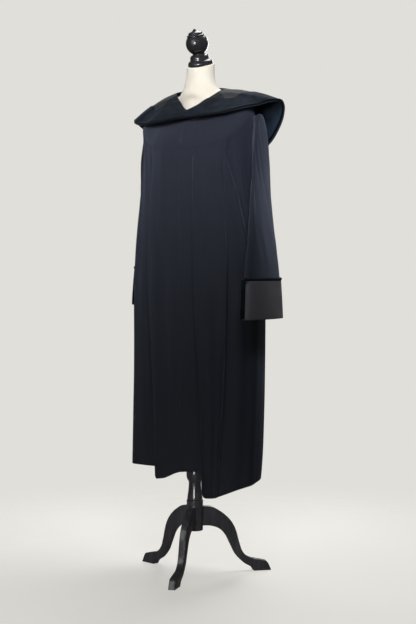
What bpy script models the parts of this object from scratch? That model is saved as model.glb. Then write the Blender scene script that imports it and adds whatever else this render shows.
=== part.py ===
"""Lawyer gown on a limbless dress form with a tripod stand.

Metres, +Z up, floor at z = 0. The gown faces -Y, so the wearer's left is +X. Each sewn or
turned piece is one object. Everything is drawn round the pole's axis, then moved as one so
that the origin is under the middle of the whole object.
"""
import math
from collections import namedtuple

import bmesh
import bpy
from mathutils import Quaternion, Vector

# Cloth
CLOTH = 0.0018             # wall of the robe cloth
COLLAR_CLOTH = 0.0020      # stiffened base layer of the collar
VELVET = 0.0018            # velvet band with its backing
SATIN = 0.0018             # turned-back cuffs
SEAM = 0.0003              # gap between two pieces sewn edge to edge
LAY = 0.0005               # gap between a piece and the panel that it lies on

# Turns round the body, in degrees from the centre front, positive to the wearer's left
SIDE = 90.0
BACK = 180.0
FLY_OVERLAP = 7.0          # how far the right front reaches under the left one
FLY_LIFT = 0.0030          # how far the left front stands off there
FLY_FADE = 24.0            # turn at which the left front is back on the common surface

# Levels: the height of the cloth at the side of the body
HEM = 0.30
ARMPIT = 1.215
ARMHOLE_TOP = 1.392
ARMHOLE_FRONT = 5.0        # how far the armhole reaches in front of the side seam, as a turn
ARMHOLE_BACK = 18.0        # and how far behind it
NECK_LEVEL = 1.475

# The dress form and its stand
POLE_TOP = 0.800
HUB_RADIUS = 0.0250
HUB_BOTTOM = 0.133
HUB_TOP = 0.2240
LEG_THICKNESS = 0.0215
LEG_HEADINGS = (("leg_front", -73.6), ("leg_right", 165.0), ("leg_left", 45.0))
ROUND_STEPS = 24

# One row for each section of the gown's body, from the hem to the shoulder tips
Section = namedtuple("Section", "level front_z back_z half_width front back")
SECTIONS = (
    Section(0.300, 0.300, 0.300, 0.218, -0.112, 0.134),
    Section(0.600, 0.600, 0.600, 0.220, -0.096, 0.144),
    Section(0.930, 0.930, 0.930, 0.218, -0.093, 0.148),
    Section(1.125, 1.125, 1.125, 0.204, -0.093, 0.148),
    Section(1.215, 1.212, 1.213, 0.195, -0.093, 0.147),
    Section(1.300, 1.262, 1.275, 0.193, -0.091, 0.144),
    Section(1.360, 1.295, 1.315, 0.195, -0.087, 0.140),
    Section(1.405, 1.328, 1.362, 0.192, -0.081, 0.132),
)

# Below the collar the cloth follows the collar's own surface: how far out along it, how far under
Tucked = namedtuple("Tucked", "level along under")
TUCKED = (
    Tucked(1.450, 0.42, 0.0090),
    Tucked(1.475, 0.13, 0.0055),
)

# Pleats: turn at the chest and at the hem, rise of the outer layer and drop of the inner one,
# overlap of the two in degrees, the reach of each layer, and the side of the outer layer
Pleat = namedtuple("Pleat", "chest hem rise drop overlap reach side")
PLEATS = (
    Pleat(-34.5, -16.5, 0.010, 0.010, 3.2, 12.0, 1),
    Pleat(14.0, 27.5, 0.013, 0.012, 4.0, 10.0, 1),
    Pleat(45.0, 43.0, 0.005, 0.005, 0.6, 9.0, -1),
)
PLEAT_HALF = 1.5           # half of a pleat's returning layer, in degrees of cloth
PLEAT_TOP = 1.39           # level where the pleats fade out
PLEAT_FULL = 0.78          # level below which they have their full depth
CENTRE_DRIFT = 4.0         # how far the centre front wanders at the hem, in degrees

# Soft standing folds of the back and sides: turn, height, half width in degrees
Fold = namedtuple("Fold", "turn height half")
FOLDS = (
    Fold(-158.0, 0.016, 11.0),
    Fold(-128.0, 0.012, 12.0),
    Fold(-66.0, 0.010, 14.0),
    Fold(76.0, 0.006, 12.0),
    Fold(130.0, 0.013, 12.0),
    Fold(160.0, 0.015, 11.0),
)

# Height of the hem edge against the turn round the body
HemPoint = namedtuple("HemPoint", "turn height")
HEM_LINE = (
    HemPoint(-180.0, 0.318), HemPoint(-90.0, 0.330), HemPoint(-36.1, 0.338), HemPoint(-33.0, 0.302),
    HemPoint(-22.0, 0.306), HemPoint(-8.0, 0.322), HemPoint(4.0, 0.332), HemPoint(12.4, 0.335),
    HemPoint(15.6, 0.274), HemPoint(21.0, 0.255), HemPoint(32.0, 0.256), HemPoint(52.0, 0.277),
    HemPoint(72.0, 0.290), HemPoint(90.0, 0.300), HemPoint(130.0, 0.312), HemPoint(180.0, 0.318),
)

# Collar, one row for each rib of its left half from the centre front to the centre back:
# the neckline point, the outer edge point, how much higher the edge is on the wearer's left,
# how high the middle of the rib stands over its chord, and how far out it bulges
Rib = namedtuple("Rib", "nx ny nz ex ey ez tilt crown bulge")
RIBS = (
    Rib(0.000, -0.042, 1.419, 0.000, -0.078, 1.392, 0.000, 0.004, 0.002),
    Rib(0.027, -0.026, 1.436, 0.064, -0.068, 1.391, 0.005, 0.005, 0.002),
    Rib(0.052, -0.008, 1.456, 0.130, -0.047, 1.394, 0.011, 0.007, 0.002),
    Rib(0.068, 0.005, 1.470, 0.176, -0.020, 1.402, 0.016, 0.008, 0.002),
    Rib(0.080, 0.016, 1.480, 0.222, 0.012, 1.411, 0.018, 0.009, 0.002),
    Rib(0.086, 0.025, 1.484, 0.252, 0.036, 1.421, 0.019, 0.009, 0.002),
    Rib(0.088, 0.035, 1.487, 0.272, 0.070, 1.423, 0.015, 0.007, 0.003),
    Rib(0.085, 0.047, 1.490, 0.257, 0.100, 1.394, 0.010, 0.012, 0.004),
    Rib(0.078, 0.058, 1.492, 0.228, 0.120, 1.358, 0.006, 0.019, 0.005),
    Rib(0.066, 0.067, 1.494, 0.188, 0.136, 1.320, 0.004, 0.025, 0.006),
    Rib(0.046, 0.075, 1.497, 0.130, 0.149, 1.290, 0.002, 0.029, 0.007),
    Rib(0.023, 0.081, 1.499, 0.064, 0.157, 1.276, 0.001, 0.033, 0.007),
    Rib(0.000, 0.083, 1.500, 0.000, 0.160, 1.271, 0.000, 0.033, 0.007),
)
SHOULDER_RIB = 6.0                   # the rib that points straight to the side
BAND_START = (0.03, 0.03, 0.03, 0.06, 0.20, 0.38, 0.50, 0.54, 0.56, 0.58, 0.60, 0.60, 0.60)
BAND_END = 0.93                      # where the velvet stops short of the base's outer edge
BAND_ROWS = (0.0, 0.25, 0.5, 0.75, BAND_END)
ROLL = (0.0022, 0.0036, 0.0022)      # thickness of the rolled edge across its width
ROLL_START = 0.942
COLLAR_END = 0.012                   # half gap between the two front ends, in ribs
COLLAR_COLUMNS = 40

# Sleeves: each ring is a flat oval between its outer and inner point. The heights, reaches
# and the middle's Y are for the hanging sleeve, the turn is that of its front edge.
Ring = namedtuple("Ring", "outer_x outer_z inner_x inner_z middle_y half_length turn")
SLEEVE_LEFT = (
    Ring(0.2060, 1.376, 0.2045, 1.216, 0.044, 0.034, 0.0),
    Ring(0.2160, 1.330, 0.2080, 1.207, 0.038, 0.050, 3.0),
    Ring(0.2300, 1.255, 0.2105, 1.187, 0.025, 0.067, 7.0),
    Ring(0.2490, 1.165, 0.2140, 1.150, 0.005, 0.085, 12.0),
    Ring(0.2670, 1.080, 0.2240, 1.076, -0.016, 0.096, 11.0),
    Ring(0.2800, 1.000, 0.2300, 0.998, -0.029, 0.103, 8.0),
    Ring(0.2890, 0.920, 0.2330, 0.919, -0.037, 0.107, 5.0),
    Ring(0.2960, 0.853, 0.2350, 0.853, -0.042, 0.110, 4.0),
    Ring(0.3000, 0.793, 0.2370, 0.793, -0.046, 0.112, 3.0),
)
SLEEVE_RIGHT = (
    Ring(0.2060, 1.376, 0.2045, 1.216, 0.048, 0.034, 0.0),
    Ring(0.2150, 1.330, 0.2080, 1.207, 0.058, 0.046, -1.0),
    Ring(0.2240, 1.255, 0.2110, 1.187, 0.077, 0.056, -2.0),
    Ring(0.2360, 1.175, 0.2130, 1.160, 0.097, 0.068, -3.0),
    Ring(0.2460, 1.090, 0.2180, 1.086, 0.110, 0.078, -3.0),
    Ring(0.2560, 1.020, 0.2220, 1.018, 0.119, 0.086, -3.0),
    Ring(0.2650, 0.950, 0.2260, 0.949, 0.125, 0.094, -3.0),
    Ring(0.2720, 0.885, 0.2290, 0.885, 0.127, 0.099, -3.0),
    Ring(0.2780, 0.826, 0.2310, 0.826, 0.128, 0.102, -3.0),
)
SLEEVE_COLUMNS = 24
HEAD_LIFT = 0.0020         # how far the sleeve's upper edge stands off the body's cloth
CUFF_HEIGHT = 0.122
CUFF_FLARE = 0.0012        # how far the cuff's upper edge stands off further than its fold
EDGING_HEIGHT = 0.009
EDGING_CROWN = 0.0010      # how much thicker the rolled edging is along its middle
CUFF_LEVELS = (0.0, 0.03, 0.07, CUFF_HEIGHT - EDGING_HEIGHT)
STRIP_WIDTH = 0.0155       # velvet binding that stands forward of the cuff's front
STRIP_TURN = 20.0          # and leans towards the body
STRIP_THICKNESS = 0.0028
STRIP_GAP = 0.0008         # and clears the satin
STRIP_END = 0.0015         # how far it stops short of the cuff's lower and upper edge

# Colours from the photograph, linear
COLOURS = {
    "wool": ((0.010, 0.011, 0.016), 0.75, 0.0),
    "collar_cloth": ((0.030, 0.031, 0.034), 0.60, 0.0),
    "velvet": ((0.006, 0.008, 0.013), 0.90, 0.0),
    "satin": ((0.042, 0.041, 0.045), 0.42, 0.0),
    "jersey": ((0.76, 0.70, 0.60), 0.85, 0.0),
    "black_wood": ((0.012, 0.012, 0.013), 0.28, 0.0),
}


def make_collection(name):
    """A new collection in the scene."""
    made = bpy.data.collections.new(name)
    bpy.context.scene.collection.children.link(made)
    return made


def make_materials():
    """One Principled material for each finish."""
    made = {}
    for name, (colour, roughness, metallic) in COLOURS.items():
        material = bpy.data.materials.new(name)
        material.use_nodes = True
        shader = material.node_tree.nodes["Principled BSDF"]
        shader.inputs["Base Color"].default_value = (*colour, 1.0)
        shader.inputs["Roughness"].default_value = roughness
        shader.inputs["Metallic"].default_value = metallic
        made[name] = material
    return made


def ease(value, low, high):
    """0 at low, 1 at high, with soft ends."""
    share = min(1.0, max(0.0, (value - low) / (high - low)))
    return share * share * (3.0 - 2.0 * share)


def spline(before, start, end, after, share):
    """Catmull-Rom between start and end, for numbers and vectors."""
    slope_in = (end - before) * 0.5
    slope_out = (after - start) * 0.5
    square, cube = share * share, share ** 3
    return (start * (2 * cube - 3 * square + 1) + slope_in * (cube - 2 * square + share)
            + end * (3 * square - 2 * cube) + slope_out * (cube - square))


def along_list(values, position):
    """Smooth value at a fractional place in a list."""
    last = len(values) - 1
    index = min(last - 1, max(0, int(math.floor(position))))
    before = values[max(0, index - 1)]
    after = values[min(last, index + 2)]
    return spline(before, values[index], values[index + 1], after, position - index)


def along_line(pairs, key):
    """Straight interpolation in a list of (key, value)."""
    if key <= pairs[0][0]:
        return pairs[0][1]
    for (low, first), (high, second) in zip(pairs, pairs[1:]):
        if key <= high:
            return first + (second - first) * (key - low) / (high - low)
    return pairs[-1][1]


# Collar surface

ALL_RIBS = [rib._replace(nx=-rib.nx, ex=-rib.ex, ez=rib.ez - rib.tilt) for rib in RIBS[:-1]]
ALL_RIBS += [rib._replace(ez=rib.ez + rib.tilt) for rib in reversed(RIBS)]
NECK_POINTS = [Vector((rib.nx, rib.ny, rib.nz)) for rib in ALL_RIBS]
EDGE_POINTS = [Vector((rib.ex, rib.ey, rib.ez)) for rib in ALL_RIBS]
CROWNS = [rib.crown for rib in ALL_RIBS]
BULGES = [rib.bulge for rib in ALL_RIBS]
BAND_STARTS = list(BAND_START[:-1]) + list(reversed(BAND_START))
LAST_RIB = len(ALL_RIBS) - 1


def collar_point(rib, along):
    """Point of the collar: rib counts from the right front end round the back, along goes
    from the neckline (0) to the outer edge (1)."""
    neck = along_list(NECK_POINTS, rib)
    edge = along_list(EDGE_POINTS, rib)
    outward = Vector((edge.x - neck.x, edge.y - neck.y, 0.0)).normalized()
    middle = (neck + edge) * 0.5 + Vector((0.0, 0.0, 2.0 * along_list(CROWNS, rib)))
    middle += outward * (2.0 * along_list(BULGES, rib))
    return neck * (1 - along) ** 2 + middle * (2 * along * (1 - along)) + edge * along ** 2


def collar_normal(rib, along):
    """Upward normal of the collar's surface."""
    step = 0.02
    round_neck = collar_point(min(LAST_RIB, rib + step), along) - collar_point(max(0.0, rib - step), along)
    outward = collar_point(rib, along + step) - collar_point(rib, along - step)
    normal = round_neck.cross(outward).normalized()
    return normal if normal.z > 0 else -normal


def rib_at(turn):
    """The collar rib above a turn round the body."""
    from_front = abs(turn)
    if from_front <= SIDE:
        place = from_front / SIDE * SHOULDER_RIB
    else:
        place = SHOULDER_RIB + (from_front - SIDE) / SIDE * (len(RIBS) - 1 - SHOULDER_RIB)
    return LAST_RIB - place if turn >= 0 else place


# Body surface

def section_point(section, turn):
    """Point of a body section, an ellipse whose height varies from front to side to back."""
    angle = math.radians(turn)
    middle = (section.front + section.back) * 0.5
    depth = (section.back - section.front) * 0.5
    end_z = section.front_z if math.cos(angle) > 0 else section.back_z
    height = end_z + (section.level - end_z) * abs(math.sin(angle)) ** 4
    return Vector((section.half_width * math.sin(angle), middle - depth * math.cos(angle), height))


def tucked_point(tucked, turn):
    """Point of the cloth under the collar."""
    rib = rib_at(turn)
    return collar_point(rib, tucked.along) - collar_normal(rib, tucked.along) * tucked.under


ROWS = SECTIONS + TUCKED
ROW_LEVELS = [row.level for row in ROWS]


def base_point(level, turn):
    """Unfolded body surface."""
    last = len(ROWS) - 1
    index = 0
    while index < last - 1 and level > ROW_LEVELS[index + 1]:
        index += 1
    share = (level - ROW_LEVELS[index]) / (ROW_LEVELS[index + 1] - ROW_LEVELS[index])
    points = []
    for row in (ROWS[max(0, index - 1)], ROWS[index], ROWS[index + 1], ROWS[min(last, index + 2)]):
        points.append(section_point(row, turn) if isinstance(row, Section) else tucked_point(row, turn))
    return spline(*points, share)


def base_normal(level, turn):
    """Outward normal of the unfolded body surface."""
    step = 0.004
    across = base_point(level, turn + 1.0) - base_point(level, turn - 1.0)
    upward = base_point(min(NECK_LEVEL, level + step), turn) - base_point(level - step, turn)
    return across.cross(upward).normalized()


def fold_depth(level):
    """How much of the folds is there at this level: 1 low down, 0 at the shoulders."""
    return 1.0 - ease(level, PLEAT_FULL, PLEAT_TOP)


def drifted(cloth_turn, level):
    """Turn in space of a thread of the cloth: the pleats and the centre wander towards the hem."""
    share = 1.0 - ease(level, HEM - 0.2, ARMPIT)
    pairs = [(-SIDE, -SIDE)]
    for chest, hem in [(pleat.chest, pleat.hem) for pleat in PLEATS] + [(0.0, CENTRE_DRIFT)]:
        pairs.append((chest, chest + (hem - chest) * share))
    pairs.append((SIDE, SIDE))
    if abs(cloth_turn) >= SIDE:
        return cloth_turn
    return along_line(sorted(pairs), cloth_turn)


def folded(cloth_turn, level):
    """Turn in space and height over the base surface, with all pleats and folds."""
    cloth_turn = wrapped(cloth_turn)
    weight = fold_depth(level)
    turn = drifted(cloth_turn, level)
    height = 0.0
    for pleat in PLEATS:
        offset = (cloth_turn - pleat.chest) * pleat.side
        swing = (PLEAT_HALF + pleat.overlap * 0.5) * weight
        if offset >= PLEAT_HALF:
            fade = math.exp(-((offset - PLEAT_HALF) / pleat.reach) ** 2)
            turn -= swing * fade * pleat.side
            height += pleat.rise * weight * fade
        elif offset <= -PLEAT_HALF:
            fade = math.exp(-((offset + PLEAT_HALF) / pleat.reach) ** 2)
            turn += swing * fade * pleat.side
            height -= pleat.drop * weight * fade
        else:
            share = offset / PLEAT_HALF
            turn -= swing * share * pleat.side
            height += ((pleat.rise + pleat.drop) * share + pleat.rise - pleat.drop) * 0.5 * weight
    for fold in FOLDS:
        offset = (cloth_turn - fold.turn) / fold.half
        if abs(offset) < 1.0:
            height += fold.height * weight * (0.5 + 0.5 * math.cos(math.pi * offset))
    return turn, height


def hem_height(cloth_turn):
    """Height of the hem at this thread."""
    return along_line(HEM_LINE, wrapped(cloth_turn))


def body_point(level, cloth_turn, lift=0.0):
    """Outer face of the gown's body."""
    turn, height = folded(cloth_turn, level)
    point = base_point(level, turn)
    middle = base_point(level, turn + 0.5)
    tangent = middle - point
    sideways = Vector((tangent.y, -tangent.x, 0.0)).normalized()
    point += sideways * (height + lift)
    if level < ARMPIT:
        share = (ARMPIT - level) / (ARMPIT - HEM)
        point.z += (hem_height(cloth_turn) - HEM) * share
    return point


def body_normal(level, cloth_turn, lift=0.0):
    """Outward normal of the body's cloth."""
    turn_step, level_step = 0.5, 0.006
    high = min(NECK_LEVEL, level + level_step)
    low = max(HEM, level - level_step)
    before, after = [body_point(level, cloth_turn + step, lift) for step in (-turn_step, turn_step)]
    below, above = [body_point(height, cloth_turn, lift) for height in (low, high)]
    return (after - before).cross(above - below).normalized()


def wrapped(cloth_turn):
    """The same turn between -180 and 180."""
    return (cloth_turn + BACK) % (2 * BACK) - BACK


def fly_lift(cloth_turn):
    """How far the left front stands off where it lies over the right one."""
    return FLY_LIFT * (1.0 - ease(cloth_turn, FLY_OVERLAP + 2.0, FLY_FADE))


def grid_normals(grid, closed=False):
    """Normals of a grid of points, rows going up and columns going to the wearer's left."""
    rows, columns = len(grid), len(grid[0])
    normals = []
    for row in range(rows):
        line = []
        for column in range(columns):
            if closed:
                left, right = grid[row][column - 1], grid[row][(column + 1) % columns]
            else:
                left, right = grid[row][max(0, column - 1)], grid[row][min(columns - 1, column + 1)]
            below, above = grid[max(0, row - 1)][column], grid[min(rows - 1, row + 1)][column]
            line.append((right - left).cross(above - below).normalized())
        normals.append(line)
    return normals


def moved(grid, normals, distance):
    """The grid moved along its normals."""
    return [[point + normal * distance for point, normal in zip(points, line)]
            for points, line in zip(grid, normals)]


# Mesh builders

def make_object(name, bm, material, collection):
    """An object from a bmesh, smooth with sharp edges kept."""
    bmesh.ops.recalc_face_normals(bm, faces=bm.faces)
    mesh = bpy.data.meshes.new(name)
    bm.to_mesh(mesh)
    bm.free()
    mesh.shade_smooth()
    mesh.set_sharp_from_angle(angle=math.radians(50))
    mesh.materials.append(material)
    made = bpy.data.objects.new(name, mesh)
    collection.objects.link(made)
    return made


def make_wall(name, outer, inner, material, collection, closed=False):
    """A cloth wall between two grids of points, closed round the rim."""
    rows, columns = len(outer), len(outer[0])
    bm = bmesh.new()
    faces = [[[bm.verts.new(point) for point in line] for line in grid] for grid in (outer, inner)]
    spans = columns if closed else columns - 1

    def two_triangles(a, b, c, d):
        bm.faces.new((a, b, c))
        bm.faces.new((a, c, d))

    for row in range(rows - 1):
        for column in range(spans):
            after = (column + 1) % columns
            for side, grid in enumerate(faces):
                corners = (grid[row][column], grid[row][after], grid[row + 1][after], grid[row + 1][column])
                if side == 0:
                    two_triangles(*corners)
                else:
                    first, second, third, fourth = corners
                    bm.faces.new((first, third, second))
                    bm.faces.new((first, fourth, third))
    front, rear = faces
    for row in (0, rows - 1):
        for column in range(spans):
            after = (column + 1) % columns
            two_triangles(front[row][column], rear[row][column], rear[row][after], front[row][after])
    if not closed:
        for column in (0, columns - 1):
            for row in range(rows - 1):
                two_triangles(front[row][column], front[row + 1][column],
                              rear[row + 1][column], rear[row][column])
    return make_object(name, bm, material, collection)


def make_loft(name, rings, material, collection):
    """A solid through closed rings, capped at both ends."""
    bm = bmesh.new()
    verts = [[bm.verts.new(point) for point in ring] for ring in rings]
    count = len(rings[0])
    for low, high in zip(verts, verts[1:]):
        for column in range(count):
            after = (column + 1) % count
            bm.faces.new((low[column], low[after], high[after], high[column]))
    bm.faces.new(list(reversed(verts[0])))
    bm.faces.new(verts[-1])
    return make_object(name, bm, material, collection)


def make_turned(name, profile, steps, material, collection):
    """A turned solid: the profile runs from the top of the axis down its outer side."""
    mesh = bpy.data.meshes.new(name)
    mesh.from_pydata([(radius, 0.0, height) for radius, height in profile],
                     [(index, index + 1) for index in range(len(profile) - 1)], [])
    made = bpy.data.objects.new(name, mesh)
    collection.objects.link(made)
    screw = made.modifiers.new("turned", "SCREW")
    screw.steps = screw.render_steps = steps
    screw.use_merge_vertices = True
    screw.merge_threshold = 0.0001
    screw.use_smooth_shade = True
    made.data.materials.append(material)
    return made


# Pieces of the gown

ARMHOLE_STEPS = 7
ARMHOLE_MIDDLE = (ARMPIT + ARMHOLE_TOP) * 0.5
ARMHOLE_HALF = (ARMHOLE_TOP - ARMPIT) * 0.5
ARMHOLE_LEVELS = [ARMHOLE_MIDDLE - ARMHOLE_HALF * math.cos(math.pi * step / (ARMHOLE_STEPS - 1))
                  for step in range(ARMHOLE_STEPS)]
BACK_COLUMNS = 22
SIDE_RADIUS = 0.110        # smallest distance from the side seams to the middle of a section's depth
SEAM_TURN = math.degrees(SEAM * 0.5 / SIDE_RADIUS)
PANEL_LEVELS = [HEM, 0.40, 0.52, 0.65, 0.78, 0.91, 1.03, 1.13] + ARMHOLE_LEVELS + [1.42, 1.45, NECK_LEVEL]


def armhole_width(level):
    """How far open the armhole is: 1 at its middle, 0 at its ends and beyond."""
    share = (level - ARMHOLE_MIDDLE) / ARMHOLE_HALF
    return math.sqrt(max(0.0, 1.0 - share * share))


def body_wall(name, turn_rows, materials, collection, lift=None):
    """A body panel through rows of turns, one row for each panel level."""
    outer, inner = [], []
    for level, turns in zip(PANEL_LEVELS, turn_rows):
        lifts = [lift(turn) if lift else 0.0 for turn in turns]
        line = [body_point(level, turn, height) for turn, height in zip(turns, lifts)]
        outer.append(line)
        inner.append([point - body_normal(level, turn, height) * CLOTH
                      for point, turn, height in zip(line, turns, lifts)])
    make_wall(name, outer, inner, materials["wool"], collection)


def front_turns(centre_turns, side):
    """Turns of a front panel: those given stay in place, the rest stretches to the side edge."""
    rows = []
    last = abs(centre_turns[-1])
    for level in PANEL_LEVELS:
        edge = SIDE - ARMHOLE_FRONT * armhole_width(level) - SEAM_TURN
        stretch = [side * (last + (edge - last) * share) for share in (0.25, 0.5, 0.75, 1.0)]
        rows.append(list(centre_turns) + stretch)
    return rows


def pleat_turns(pleat):
    """The columns that a pleat needs."""
    return [pleat.chest - 5.0, pleat.chest - PLEAT_HALF, pleat.chest + PLEAT_HALF, pleat.chest + 5.0]


def build_fronts(materials, collection):
    """The two front panels."""
    outer_pleat, deep_pleat, shallow_pleat = PLEATS
    left = [0.0, 4.5] + pleat_turns(deep_pleat) + [26.0, 33.0] + pleat_turns(shallow_pleat) + [56.0]
    body_wall("front_left", front_turns(left, 1), materials, collection, fly_lift)
    right = [FLY_OVERLAP, 3.5, 0.0, -7.0, -14.0, -21.0] + pleat_turns(outer_pleat)[::-1] + [-48.0]
    body_wall("front_right", [row[::-1] for row in front_turns(right, -1)], materials, collection)


def build_back(materials, collection):
    """The back panel, from the left side seam round to the right one."""
    rows = []
    for level in PANEL_LEVELS:
        edge = SIDE + ARMHOLE_BACK * armhole_width(level) + SEAM_TURN
        span = 2 * (BACK - edge)
        rows.append([edge + span * step / BACK_COLUMNS for step in range(BACK_COLUMNS + 1)])
    body_wall("back", rows, materials, collection)


def armhole_point(side, angle):
    """Point and normal of the armhole's edge: angle 0 at the top, 90 at the front."""
    level = ARMHOLE_MIDDLE + ARMHOLE_HALF * math.cos(angle)
    reach = ARMHOLE_FRONT if math.sin(angle) > 0 else ARMHOLE_BACK
    turn = SIDE - reach * math.sin(angle)
    return body_point(level, side * turn), body_normal(level, side * turn)


def sleeve_head(side):
    """The sleeve's upper edge, standing on the body round the armhole."""
    ends = [armhole_point(side, math.pi * quarter / 2)[0] for quarter in range(4)]
    centre = (ends[0] + ends[1] + ends[2] + ends[3]) * 0.25
    head = []
    for column in range(SLEEVE_COLUMNS):
        edge, normal = armhole_point(side, 2 * math.pi * column / SLEEVE_COLUMNS)
        away = edge - centre
        away = (away - normal * away.dot(normal)).normalized()
        head.append(edge + away * (CLOTH + LAY) + normal * HEAD_LIFT)
    return head


def sleeve_grid(side, rings):
    """Outer points of a sleeve, from its lower edge up to the armhole."""
    grid = []
    for ring in reversed(rings):
        outer = Vector((side * ring.outer_x, ring.middle_y, ring.outer_z))
        inner = Vector((side * ring.inner_x, ring.middle_y, ring.inner_z))
        turn = math.radians(ring.turn)
        forward = Vector((side * math.sin(turn), -math.cos(turn), 0.0)) * ring.half_length
        middle, across = (outer + inner) * 0.5, (outer - inner) * 0.5
        line = []
        for column in range(SLEEVE_COLUMNS):
            angle = 2 * math.pi * column / SLEEVE_COLUMNS
            line.append(middle + across * math.cos(angle) + forward * math.sin(angle))
        grid.append(line)
    grid.append(sleeve_head(side))
    return grid if side < 0 else [[line[-column] for column in range(SLEEVE_COLUMNS)] for line in grid]


def build_sleeve(name, side, rings, materials, collection):
    """A sleeve with its turned-back cuff, the cuff's rolled edging and its front binding."""
    grid = sleeve_grid(side, rings)
    normals = grid_normals(grid, closed=True)
    inside = moved(grid, normals, -CLOTH)
    make_wall("sleeve_" + name, grid, inside, materials["wool"], collection, closed=True)

    def cuff_point(column, height, stand_off):
        fold, ring, upper = grid[0][column], grid[1][column], grid[2][column]
        share = 2.0 * height / (upper - fold).length
        point = fold.lerp(ring, share) if share < 1.0 else ring.lerp(upper, share - 1.0)
        return point + normals[1][column] * (stand_off + LAY + CUFF_FLARE * height / CUFF_HEIGHT)

    def cuff_face(heights, stand_offs):
        return [[cuff_point(column, height, stand_off) for column in range(SLEEVE_COLUMNS)]
                for height, stand_off in zip(heights, stand_offs)]

    flush = [0.0] * len(CUFF_LEVELS)
    make_wall("cuff_" + name, cuff_face(CUFF_LEVELS, [SATIN] * len(CUFF_LEVELS)),
              cuff_face(CUFF_LEVELS, flush), materials["satin"], collection, closed=True)

    low = CUFF_LEVELS[-1] + SEAM
    edging = (low, (low + CUFF_HEIGHT) * 0.5, CUFF_HEIGHT)
    thick = SATIN + EDGING_CROWN
    make_wall("cuff_edging_" + name, cuff_face(edging, (thick, thick + EDGING_CROWN, thick)),
              cuff_face(edging, (0.0, 0.0, 0.0)), materials["velvet"], collection, closed=True)

    front = SLEEVE_COLUMNS // 4 if side < 0 else 3 * SLEEVE_COLUMNS // 4
    lean = Quaternion((0.0, 0.0, 1.0), math.radians(-side * STRIP_TURN))
    forward = lean @ (grid[0][front] - grid[0][front - SLEEVE_COLUMNS // 2]).normalized()
    sideways = forward.cross(Vector((0.0, 0.0, 1.0))).normalized() * (STRIP_THICKNESS * 0.5)
    faces = []
    for across in (sideways, -sideways):
        face = []
        for height in (STRIP_END, CUFF_LEVELS[1], CUFF_LEVELS[2], CUFF_LEVELS[3] - STRIP_END):
            root = cuff_point(front, height, SATIN) + forward * STRIP_GAP
            tip = root + forward * STRIP_WIDTH
            face.append([tip + across * 0.6, root.lerp(tip, 0.8) + across, root + across])
        faces.append(face)
    make_wall("cuff_strip_" + name, faces[0], faces[1], materials["velvet"], collection)


def build_collar(materials, collection):
    """Base layer, velvet band and rolled edge of the collar."""
    ribs = [COLLAR_END + (LAST_RIB - 2 * COLLAR_END) * step / COLLAR_COLUMNS
            for step in range(COLLAR_COLUMNS + 1)]

    def face(places, lifts):
        grid = []
        for (bare, share), lift in zip(places, lifts):
            line = []
            for rib in ribs:
                start = along_list(BAND_STARTS, rib)
                along = start * bare if bare < 1.0 else start + (1.0 - start) * share
                line.append(collar_point(rib, along) + collar_normal(rib, along) * lift)
            grid.append(line)
        return grid

    band = [(1.0, share) for share in BAND_ROWS]
    edge = [(1.0, ROLL_START), (1.0, (1.0 + ROLL_START) * 0.5), (1.0, 1.0)]
    base = [(0.0, 0.0), (0.5, 0.0)] + band + edge
    make_wall("collar", face(base, [0.0] * len(base)), face(base, [-COLLAR_CLOTH] * len(base)),
              materials["collar_cloth"], collection)
    make_wall("collar_band", face(band, [LAY + VELVET] * len(band)), face(band, [LAY] * len(band)),
              materials["velvet"], collection)
    make_wall("collar_edging", face(edge, [LAY + thickness for thickness in ROLL]),
              face(edge, [LAY] * len(edge)), materials["velvet"], collection)


def build_gown(materials, collection):
    """All the sewn pieces."""
    build_fronts(materials, collection)
    build_back(materials, collection)
    build_sleeve("left", 1, SLEEVE_LEFT, materials, collection)
    build_sleeve("right", -1, SLEEVE_RIGHT, materials, collection)
    build_collar(materials, collection)


# Dress form and stand

# Sections of the form, by side height: front and back height, half width, front and back
FORM_SECTIONS = (
    Section(0.800, 0.800, 0.800, 0.110, -0.070, 0.095),
    Section(0.806, 0.806, 0.806, 0.150, -0.082, 0.118),
    Section(0.900, 0.900, 0.900, 0.168, -0.084, 0.126),
    Section(1.000, 1.000, 1.000, 0.152, -0.080, 0.116),
    Section(1.080, 1.080, 1.080, 0.140, -0.076, 0.108),
    Section(1.160, 1.160, 1.160, 0.150, -0.080, 0.114),
    Section(1.240, 1.235, 1.235, 0.164, -0.084, 0.122),
    Section(1.310, 1.280, 1.285, 0.170, -0.082, 0.124),
    Section(1.370, 1.320, 1.330, 0.174, -0.074, 0.116),
)
# At the shoulders the form follows the cloth that rests on it
SHOULDER_LEVELS = (1.420, 1.450, NECK_LEVEL)
REST_GAP = 0.0010
FRONT_CLEARANCE = 0.009
# Neck rings: middle's Y and Z, half width and depth, forward tilt
NeckRing = namedtuple("NeckRing", "middle_y middle_z half_width half_depth tilt")
NECK_RINGS = (
    NeckRing(0.029, 1.474, 0.0740, 0.0520, 27.0),
    NeckRing(0.027, 1.491, 0.0570, 0.0520, 22.0),
    NeckRing(0.029, 1.512, 0.0490, 0.0480, 21.0),
    NeckRing(0.032, 1.535, 0.0440, 0.0440, 19.0),
    NeckRing(0.034, 1.565, 0.0425, 0.0425, 18.0),
)
FORM_COLUMNS = 32


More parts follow.
